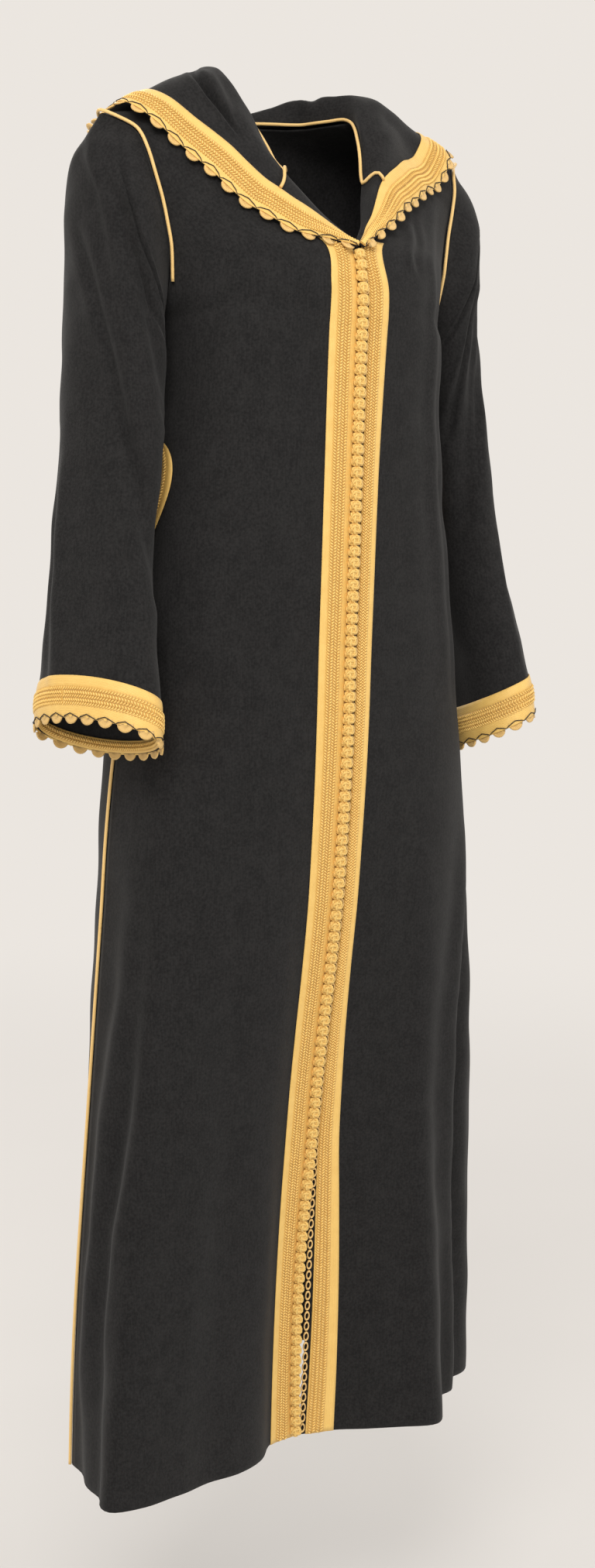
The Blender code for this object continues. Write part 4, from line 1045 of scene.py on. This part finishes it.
frontPlaits = {right: (0.0090, 0.0250), left: (0.0012, 0.0142)}
frontStitchRows = 4
hoodBraid = {"plait": (0.009, 0.0265), "stitchRows": 5, "lift": 0.0006, "overhang": 0.45}
cuffBraid = {"plait": (0.0085, 0.0255), "stitchRows": 5, "gridRows": 13, "overhang": 0.45}
frontBraids, hoodBraids, cuffBraids = {}, {}, {}
fineVRow = int(np.argmin(np.abs(np.concatenate([
    np.linspace(body["hemHeight"], body["underarmHeight"], cloth["skirtRows"] + 1),
    np.linspace(body["underarmHeight"], chestHeights[-1], cloth["chestRows"] + 1)[1:]])
    - body["neckV"]))) + 1
for side in (right, left):
    name = sideNames[side]
    base = fine[side, front][:fineVRow + 2, braidColumns[side]]
    frontBraids[side] = flatBraid("frontBraid_" + name, base, side, frontPlaits[side],
                                  frontStitchRows)
    finishPiece(frontBraids[side], "gold_braid", "front_braid_" + name)

    base = pastRim(fineHoods[side][:, hoodFine["rows"]:], hoodBraid["overhang"])
    hoodBraids[side] = flatBraid("hoodBraid_" + name, base, side, hoodBraid["plait"],
                                 hoodBraid["stitchRows"], lift=hoodBraid["lift"])
    finishPiece(hoodBraids[side], "gold_braid", "hood_braid_" + name)

    base = fineSleeves[side][-cuffBraid["gridRows"]:].transpose(1, 0, 2)
    base = pastRim(base, cuffBraid["overhang"])
    cuffBraids[side] = flatBraid("cuffBraid_" + name, base, -side, cuffBraid["plait"],
                                 cuffBraid["stitchRows"], ring=True)
    finishPiece(cuffBraids[side], "gold_braid", "cuff_braid_" + name)

# the braid is turned over the cuff's rim and shows inside it
cuffFacing = {"gap": 0.0022, "gridRows": 5, "plait": (0.002, 0.010), "stitchRows": 2}
for side in (right, left):
    base = fineSleeves[side] - cuffFacing["gap"] * normalsOf(fineSleeves[side], side, True)
    base = base[-cuffFacing["gridRows"]:].transpose(1, 0, 2)
    facing = flatBraid("cuffFacing_" + sideNames[side], base, side, cuffFacing["plait"],
                       cuffFacing["stitchRows"], ring=True)
    finishPiece(facing, "gold_braid")
print("flat braids made")


# tubes: cords, knots and thread
def tubeParts(points, radius, sides, closed, start=0):
    points = np.asarray(points, float)
    count = len(points)
    ahead = np.roll(points, -1, 0) - np.roll(points, 1, 0)
    if not closed:
        ahead[0] = points[1] - points[0]
        ahead[-1] = points[-1] - points[-2]
    ahead /= np.linalg.norm(ahead, axis=1)[:, None]
    upright = np.array([0.0, 0.0, 1.0]) if abs(ahead[0][2]) < 0.9 else np.array([1.0, 0.0, 0.0])
    side = np.cross(ahead[0], upright)
    frames = []
    for direction in ahead:
        side = side - direction * np.dot(side, direction)
        side /= np.linalg.norm(side)
        frames.append((side, np.cross(direction, side)))
    radii = np.broadcast_to(radius, (count,))
    angles = np.arange(sides) * 2 * math.pi / sides
    rings = [points[i] + radii[i] * (np.cos(a) * frames[i][0] + np.sin(a) * frames[i][1])
             for i in range(count) for a in angles]
    lengths = lengthsAlong(np.concatenate([points, points[:1]]) if closed else points)
    around = 2 * math.pi * float(np.mean(radii))
    faces, uvs = [], []
    for r in range(count if closed else count - 1):
        for c in range(sides):
            after, below = (c + 1) % sides, (r + 1) % count
            faces.append((start + r * sides + c, start + r * sides + after,
                          start + below * sides + after, start + below * sides + c))
            u0, u1 = around * c / sides, around * (c + 1) / sides
            v0, v1 = lengths[r], lengths[r + 1]
            uvs += [(u0, v0), (u1, v0), (u1, v1), (u0, v1)]
    if not closed:
        faces.append(tuple(start + c for c in range(sides))[::-1])
        faces.append(tuple(start + (count - 1) * sides + c for c in range(sides)))
        uvs += [(0.0, 0.0)] * (2 * sides)
    return rings, faces, uvs


def smoothLine(points, step):  # the same line with points about one step apart
    points = np.asarray(points, float)
    keys = lengthsAlong(points)
    at = np.linspace(0, keys[-1], max(int(keys[-1] / step), 2) + 1)
    return readSmooth(keys, points[:, None], at)[:, 0]


cords = {"radius": 0.0016, "lift": 0.0007, "armholeLift": 0.0010, "armholeOpen": 2,
         "sides": 10, "step": 0.004}


def sewnCord(name, points, node):
    line = smoothLine(points, cords["step"])
    thing = makeMesh(name, *tubeParts(line, cords["radius"], cords["sides"], False), cordGold)
    return finishPiece(thing, "gold_cord", node)


def cordLift(out, sides):
    slant = max(min(float(np.dot(out, s)) for s in sides), 0.5)
    return (cords["radius"] + clearance) / slant + cords["lift"]


def unit(vector):
    return vector / np.linalg.norm(vector)


def armholeCord(side):
    skirt = body["skirtRows"]
    loop = armholeLoop(side)
    coarse = sleeveGrid(side)
    sleeveOuts = normalsOf(coarse, side, True)[0]
    frontOuts = normalsOf(panels[side, front], side)[skirt:, -1]
    backOuts = normalsOf(panels[side, back], -side)[skirt:, -1]
    bodyOuts = np.concatenate([frontOuts[::-1], backOuts[1:-1]])
    half = len(loop) // 2
    order = list(range(half + cords["armholeOpen"], len(loop)))
    order += list(range(half - cords["armholeOpen"] + 1))
    line = []
    for i in order:
        out = unit(bodyOuts[i] + sleeveOuts[i])
        lift = cordLift(out, (bodyOuts[i], sleeveOuts[i])) + cords["armholeLift"]
        line.append((loop[i] + coarse[0][i]) / 2 + out * lift)
    return line


def sideCord(side):
    frontGrid, backGrid = panels[side, front], panels[side, back]
    frontOuts, backOuts = normalsOf(frontGrid, side), normalsOf(backGrid, -side)
    line = []
    for r, height in enumerate(bodyHeights):
        if height > pocket["bottom"]:
            break
        out = unit(frontOuts[r, -1] + backOuts[r, -1])
        line.append((frontGrid[r, -1] + backGrid[r, -1]) / 2 + out * (cords["radius"] + clearance))
    return line


def neckCordLine(side):
    grid = hoodGrid(side)
    outs = normalsOf(grid, side)
    lift = cords["radius"] + clearance + cords["lift"]
    # down the hood's fold to its seam, then along the seam to the centre back
    column = neckCord["column"]
    line = [grid[column, row] + outs[column, row] * lift for row in range(neckCord["rows"], 0, -1)]
    for i in range(column + 1, hood["columns"] + 1):
        line.append(grid[i, 0] + outs[i, 0] * lift)
    line[-1][0] = side * cords["radius"]
    return line


# pocket braid
pocket = {"top": -0.350, "bottom": -0.452, "halfWidth": 0.024, "endHalfWidth": 0.003,
          "forward": 0.006, "lift": 0.0010, "steps": 40, "columns": 7, "widestUp": 0.62,
          "plait": (0.10, 0.90), "stitchRows": 7}


def pocketBraid(side):  # a leaf across the side seam
    grid = []
    for share in np.linspace(0, 1, pocket["steps"] + 1):
        height = pocket["bottom"] + (pocket["top"] - pocket["bottom"]) * share
        swell = math.sin(math.pi * (1 - share) ** pocket["widestUp"])
        half = pocket["endHalfWidth"] + pocket["halfWidth"] * swell
        frontCurve, backCurve = bodyCurve(height, side, front), bodyCurve(height, side, back)
        frontLengths, backLengths = lengthsAlong(frontCurve), lengthsAlong(backCurve)
        ahead = half + pocket["forward"]
        behind = max(half - pocket["forward"], 0.002)
        steps = np.linspace(0, 1, pocket["columns"])
        row = [atDistance(frontCurve, frontLengths, frontLengths[-1] - ahead * (1 - t))
               for t in steps[:-1]]
        row.append((frontCurve[-1] + backCurve[-1]) / 2)
        row += [atDistance(backCurve, backLengths, backLengths[-1] - behind * t)
                for t in steps[1:]]
        grid.append(np.array(row))
    grid = np.array(grid)
    width = np.linalg.norm(np.diff(grid, axis=1), axis=2).mean(0).sum()
    return flatBraid("pocketBraid_" + sideNames[side], grid, side,
                     [width * share for share in pocket["plait"]], pocket["stitchRows"],
                     lift=pocket["lift"])


for side in (right, left):
    name = sideNames[side]
    finishPiece(pocketBraid(side), "gold_braid", "pocket_braid_" + name)
    sewnCord("armholeCord_" + name, armholeCord(side), "armhole_cord_" + name)
    sewnCord("sideCord_" + name, sideCord(side), "side_cord_" + name)
    sewnCord("neckCord_" + name, neckCordLine(side), "neck_cord_" + name)
print("pocket braids and sewn cords made")

# knot buttons and loops
knots = {"pitch": 0.0106, "endGap": 0.0020, "halfWidth": 0.0048, "halfHeight": 0.0045,
         "halfDepth": 0.0030, "cordRadius": 0.00125, "leads": 5, "bights": 4, "points": 75,
         "sides": 5, "weave": 0.16, "closedInside": 0.0038, "openInside": 0.0056, "rise": 0.0022,
         "lean": 4, "square": 0.55}
loops = {"majorRadius": 0.0040, "minorRadius": 0.0011, "squeeze": 0.62, "closedInside": 0.0030,
         "openOutward": 0.0035, "rise": 0.0016}


def placeCopies(master, matrices, name):
    copies = []
    for matrix in matrices:
        copy = master.copy()
        copy.data = master.data.copy()
        bpy.context.scene.collection.objects.link(copy)
        copy.data.transform(matrix)
        copies.append(copy)
    bpy.data.objects.remove(master)
    bpy.ops.object.select_all(action="DESELECT")
    for copy in copies:
        copy.select_set(True)
    bpy.context.view_layer.objects.active = copies[0]
    bpy.ops.object.join()
    joined = bpy.context.view_layer.objects.active
    joined.name = name
    joined.data.name = name
    joined.select_set(False)
    return joined


def knotMaster():  # one woven ball of cord, wound over and under itself
    t = np.linspace(0, 2 * math.pi * knots["leads"], knots["points"], endpoint=False)
    wave = knots["bights"] * t / knots["leads"]
    latitude = 1.05 * np.cos(wave)
    over = 1 + knots["weave"] * np.sin(2 * wave)
    line = np.stack([knots["halfWidth"] * over * np.cos(latitude) * np.cos(t),
                     knots["halfHeight"] * over * np.cos(latitude) * np.sin(t),
                     knots["halfDepth"] * over * np.sin(latitude) * 1.1], -1)
    points, faces, uvs = tubeParts(line, knots["cordRadius"], knots["sides"], True)
    wound = makeMesh("knot", points, faces, uvs, knotGold)
    bpy.ops.object.select_all(action="DESELECT")
    bpy.ops.mesh.primitive_uv_sphere_add(segments=12, ring_count=7, radius=1.0)
    core = bpy.context.view_layer.objects.active
    core.data.transform(Matrix.Diagonal((knots["halfWidth"], knots["halfHeight"],
                                         knots["halfDepth"], 1.0)))
    core.data.uv_layers[0].name = "UVMap"
    core.data.materials.append(knotGold)
    core.data.shade_smooth()
    core.select_set(True)
    wound.select_set(True)
    bpy.context.view_layer.objects.active = wound
    bpy.ops.object.join()
    for vertex in wound.data.vertices:  # pressed square by its neighbours
        u, v = vertex.co.x / knots["halfWidth"], vertex.co.y / knots["halfHeight"]
        reach = max(math.hypot(u, v), 1e-9)
        squarer = (max(abs(u), abs(v), 1e-9) / reach) ** -knots["square"]
        vertex.co.x *= squarer
        vertex.co.y *= squarer
    return wound


def frontEdge(side):
    grid = fine[side, front][:fineVRow]
    normals = normalsOf(fine[side, front], side)[:fineVRow]
    return grid[:, 0], normals[:, 0], lengthsAlong(grid[:, 0])


def edgeFrames(side):
    points, outs, distances = frontEdge(side)
    length = distances[-1] - 4 * knots["endGap"]
    count = int(length / knots["pitch"])
    frames = []
    for i in range(count):
        distance = knots["endGap"] + length * (i + 0.5) / count
        middle = atDistance(points, distances, distance)
        out = unit(atDistance(outs, distances, distance))
        ahead = unit(atDistance(points, distances, distance + 0.002)
                     - atDistance(points, distances, distance - 0.002))
        across = unit(np.cross(ahead, out))
        frames.append((middle, across, ahead, out))
    return frames


def frameMatrix(place, x, y, z):
    matrix = Matrix.Identity(4)
    for row in range(3):
        matrix[row][0], matrix[row][1], matrix[row][2], matrix[row][3] = (
            x[row], y[row], z[row], place[row])
    return matrix


def slitOpenness(height):  # 0 where the front is closed, 1 where the slit is widest
    return (slitHalfGap(height) - body["seamHalfGap"]) / body["slitHalfGap"]


def knotMatrices():
    matrices = []
    for i, (middle, across, ahead, out) in enumerate(edgeFrames(right)):
        gap = slitOpenness(middle[2])
        inside = knots["closedInside"] + (knots["openInside"] - knots["closedInside"]) * gap
        toPanel = across if across[0] < 0 else -across
        place = middle + toPanel * inside + out * (knots["halfDepth"] + knots["rise"])
        lean = math.radians(knots["lean"] * math.sin(i * 2.4))
        x = across * math.cos(lean) + ahead * math.sin(lean)
        y = ahead * math.cos(lean) - across * math.sin(lean)
        matrices.append(frameMatrix(place, x, y, np.cross(x, y)))
    return matrices


def loopMaster():
    bpy.ops.object.select_all(action="DESELECT")
    bpy.ops.mesh.primitive_torus_add(
        major_segments=14, minor_segments=5, major_radius=loops["majorRadius"],
        minor_radius=loops["minorRadius"], generate_uvs=True)
    thing = bpy.context.view_layer.objects.active
    thing.data.transform(Matrix.Diagonal((loops["squeeze"], 1.0, 1.0, 1.0)))
    girth, ringLength = 0.007, 0.022
    for corner in thing.data.uv_layers[0].data:
        corner.uv = (corner.uv[1] * girth, corner.uv[0] * ringLength)
    thing.data.uv_layers[0].name = "UVMap"
    thing.data.materials.append(cordGold)
    thing.data.shade_smooth()
    return thing


def loopMatrices():
    matrices = []
    for middle, across, ahead, out in edgeFrames(left):
        inside = loops["closedInside"] - loops["openOutward"] * slitOpenness(middle[2])
        toPanel = across if across[0] > 0 else -across
        place = middle + toPanel * inside + out * loops["rise"]
        matrices.append(frameMatrix(place, across, ahead, np.cross(across, ahead)))
    return matrices


finishPiece(placeCopies(knotMaster(), knotMatrices(), "knotButtons"), "gold_knots", "knots")
finishPiece(placeCopies(loopMaster(), loopMatrices(), "buttonLoops"), "gold_cord", "loops")
print("knot buttons and loops made")

# crochet scallops and the black thread
scallops = {"halfWidth": 0.0075, "reach": 0.0078, "thickness": 0.0016, "hoodPitch": 0.0215,
            "cuffPitch": 0.0190, "tuck": 0.0010, "rimInset": 0.0017, "nextInset": 0.0022,
            "dome": 0.0007, "rimLift": 0.0003, "fan": 0.0062, "outward": 0.0002}
# the thread rises over each scallop and dips between two
thread = {"radius": 0.00050, "rise": 0.0030, "shoulderRise": 0.0004, "fall": 0.0012,
          "outOver": 0.0023, "outBetween": 0.0012, "outEnd": 0.0010, "sides": 5}


def scallopMaster():  # half a disc of crochet, thicker along its rim
    bpy.ops.object.select_all(action="DESELECT")
    bpy.ops.mesh.primitive_circle_add(vertices=20, radius=scallops["halfWidth"], fill_type="NGON")
    thing = bpy.context.view_layer.objects.active
    bpy.ops.object.mode_set(mode="EDIT")
    bpy.ops.mesh.select_all(action="SELECT")
    bpy.ops.mesh.inset(thickness=scallops["rimInset"])
    bpy.ops.mesh.inset(thickness=scallops["nextInset"])
    bpy.ops.mesh.poke()
    bpy.ops.mesh.select_all(action="SELECT")
    bpy.ops.mesh.bisect(plane_co=(0, 0, 0), plane_no=(0, 1, 0), clear_outer=True)
    bpy.ops.object.mode_set(mode="OBJECT")
    for vertex in thing.data.vertices:
        radius = math.hypot(vertex.co.x, vertex.co.y) / scallops["halfWidth"]
        vertex.co.z = (scallops["dome"] * math.sin(math.pi * min(radius, 1.0))
                       + scallops["rimLift"] * radius)
        vertex.co.y *= scallops["reach"] / scallops["halfWidth"]
    layer = thing.data.uv_layers[0] if thing.data.uv_layers else thing.data.uv_layers.new()
    layer.name = "UVMap"
    for loop in thing.data.loops:  # stitches fan out from the middle of the straight side
        place = thing.data.vertices[loop.vertex_index].co
        layer.data[loop.index].uv = (math.atan2(-place.y, place.x) * scallops["fan"],
                                     math.hypot(place.x, place.y))
    giveWall(thing, scallops["thickness"], 0)
    thing.data.materials.append(crochetGold)
    thing.data.shade_smooth()
    return thing


def edging(name, edge, inside, out, pitch, ring, node):
    # edge: the rim's points; inside: points a little way in from it; out: the cloth's outer side
    if ring:
        edge, inside, out = (np.concatenate([a, a[:1]]) for a in (edge, inside, out))
    distances = lengthsAlong(edge)
    hang = edge - inside
    hang /= np.linalg.norm(hang, axis=1)[:, None]
    ahead = np.gradient(edge, axis=0)
    if ring:
        ahead[0] = ahead[-1] = edge[1] - edge[-2]
    ahead /= np.linalg.norm(ahead, axis=1)[:, None]
    count = round(distances[-1] / pitch)
    matrices, line = [], []
    for i in range(count):
        for share in (0.0, 0.14, 0.5, 0.86):
            distance = distances[-1] * (i + share) / count
            place = atDistance(edge, distances, distance)
            down = unit(atDistance(hang, distances, distance))
            up = unit(atDistance(out, distances, distance))
            if share == 0.5:
                along = unit(atDistance(ahead, distances, distance))
                y = -down
                x = unit(along - y * np.dot(along, y))
                z = np.cross(x, y)
                centre = place - down * scallops["tuck"]
                matrices.append(frameMatrix(centre + up * scallops["outward"], x, y, z))
                line.append(place - down * thread["rise"] + up * thread["outOver"])
            elif share == 0.0:
                line.append(place + down * thread["fall"] + up * thread["outBetween"])
            else:
                line.append(place - down * thread["shoulderRise"] + up * thread["outOver"])
    if not ring:
        line.append(edge[-1] + hang[-1] * thread["fall"] + out[-1] * thread["outEnd"])
    pieces = placeCopies(scallopMaster(), matrices, name)
    finishPiece(pieces, "gold_crochet", node)
    strand = tubeParts(line, thread["radius"], thread["sides"], ring)
    finishPiece(makeMesh("blackThread_" + node, *strand, blackThread), None)


for side in (right, left):
    name = sideNames[side]
    hoodOuts = normalsOf(fineHoods[side], side)[:, -1]
    edging("hoodScallops_" + name, fineHoods[side][:, -1], fineHoods[side][:, -4], hoodOuts,
           scallops["hoodPitch"], False, "hood_scallops_" + name)
    cuffOuts = normalsOf(fineSleeves[side], side, True)[-1]
    edging("cuffScallops_" + name, fineSleeves[side][-1], fineSleeves[side][-4], cuffOuts,
           scallops["cuffPitch"], True, "cuff_scallops_" + name)
print("scallops and thread made")

# the cloth sheets and their areas
for thing in (*fronts.values(), *sleeves.values(), *hoods.values(), backPiece):
    area = sum(face.area for face in thing.data.polygons) / 2
    print(thing.name, round(area, 4), "square metres")
for side in (right, left):
    name = sideNames[side]

# floor, light and camera
studio = {"floorHeight": -1.62, "floorColour": (0.66, 0.65, 0.64), "sky": (0.98, 0.93, 0.875),
          "skyStrength": 0.85, "fadeFrom": 1.2, "fadeTo": 4.5}


def makeFloor():
    bpy.ops.mesh.primitive_plane_add(size=60, location=(0, 0, 0))
    floor = bpy.context.view_layer.objects.active
    floor.name = "floor"
    floor.data.transform(Matrix.Translation((0, 0, studio["floorHeight"])))
    material, tree, shader = newMaterial("pale_floor")
    place = tree.nodes.new("ShaderNodeTexCoord")
    tone = noiseNode(tree, place.outputs["Object"], 3.0, 2.0)
    pale = studio["floorColour"]
    tree.links.new(mixColour(tree, tone, pale, tuple(c * 1.04 for c in pale)),
                   shader.inputs["Base Color"])
    shader.inputs["Roughness"].default_value = 0.9
    # far off, the floor turns into the sky's colour, like a paper backdrop
    far = tree.nodes.new("ShaderNodeVectorMath")
    far.operation = "LENGTH"
    tree.links.new(place.outputs["Object"], far.inputs[0])
    fade = tree.nodes.new("ShaderNodeMapRange")
    fade.interpolation_type = "SMOOTHSTEP"
    fade.inputs["From Min"].default_value = studio["fadeFrom"]
    fade.inputs["From Max"].default_value = studio["fadeTo"]
    tree.links.new(far.outputs["Value"], fade.inputs["Value"])
    sky = tree.nodes.new("ShaderNodeEmission")
    sky.inputs["Color"].default_value = (*studio["sky"], 1)
    sky.inputs["Strength"].default_value = studio["skyStrength"]
    both = tree.nodes.new("ShaderNodeMixShader")
    tree.links.new(fade.outputs["Result"], both.inputs["Fac"])
    tree.links.new(shader.outputs["BSDF"], both.inputs[1])
    tree.links.new(sky.outputs["Emission"], both.inputs[2])
    tree.links.new(both.outputs["Shader"], tree.nodes["Material Output"].inputs["Surface"])
    floor.data.materials.append(material)


def makeLight(name, place, target, size, power, colour):
    data = bpy.data.lights.new(name, "AREA")
    data.shape = "DISK"
    data.size = size
    data.energy = power
    data.color = colour
    lamp = bpy.data.objects.new(name, data)
    lamp.location = place
    lamp.rotation_euler = (Vector(target) - Vector(place)).to_track_quat("-Z", "Y").to_euler()
    bpy.context.scene.collection.objects.link(lamp)


makeFloor()
world = bpy.data.worlds.new("studio")
world.use_nodes = True
world.node_tree.nodes["Background"].inputs[0].default_value = (*studio["sky"], 1)
world.node_tree.nodes["Background"].inputs[1].default_value = studio["skyStrength"]
bpy.context.scene.world = world
bpy.context.scene.view_settings.view_transform = "Standard"
for lamp in (("key", (-1.9, -2.0, 1.5), (0, 0, -0.5), 1.6, 60, (1.0, 0.97, 0.93)),
             ("fill", (1.6, -2.4, 0.3), (0, 0, -0.7), 2.0, 10, (0.96, 0.98, 1.0)),
             ("rim", (0.5, 2.4, 1.4), (0, 0, -0.4), 1.6, 30, (1.0, 0.98, 0.95))):
    makeLight(*lamp)

# the view: angles in degrees, places in metres, the lens in millimetres
view = {"azimuth": -38.0, "pitch": 6.66, "roll": 1.8, "rightward": 0.043, "back": 2.355,
        "height": -0.41, "lens": 53.9, "sensorHeight": 36}
azimuth, pitch, roll = (math.radians(view[key]) for key in ("azimuth", "pitch", "roll"))
rightward = Vector((math.cos(azimuth), math.sin(azimuth), 0))
level = Vector((-math.sin(azimuth), math.cos(azimuth), 0))
up = Vector((0, 0, 1))
forward = level * math.cos(pitch) - up * math.sin(pitch)
cameraUp = level * math.sin(pitch) + up * math.cos(pitch)
imageRight = rightward * math.cos(roll) + cameraUp * math.sin(roll)
imageUp = cameraUp * math.cos(roll) - rightward * math.sin(roll)
place = rightward * view["rightward"] - level * view["back"] + up * view["height"]
cameraData = bpy.data.cameras.new("camera")
cameraData.sensor_fit = "VERTICAL"
cameraData.sensor_height = view["sensorHeight"]
cameraData.lens = view["lens"]
camera = bpy.data.objects.new("camera", cameraData)
camera.matrix_world = frameMatrix(place, imageRight, imageUp, -forward)
bpy.context.scene.collection.objects.link(camera)
bpy.context.scene.camera = camera

bpy.context.view_layer.update()
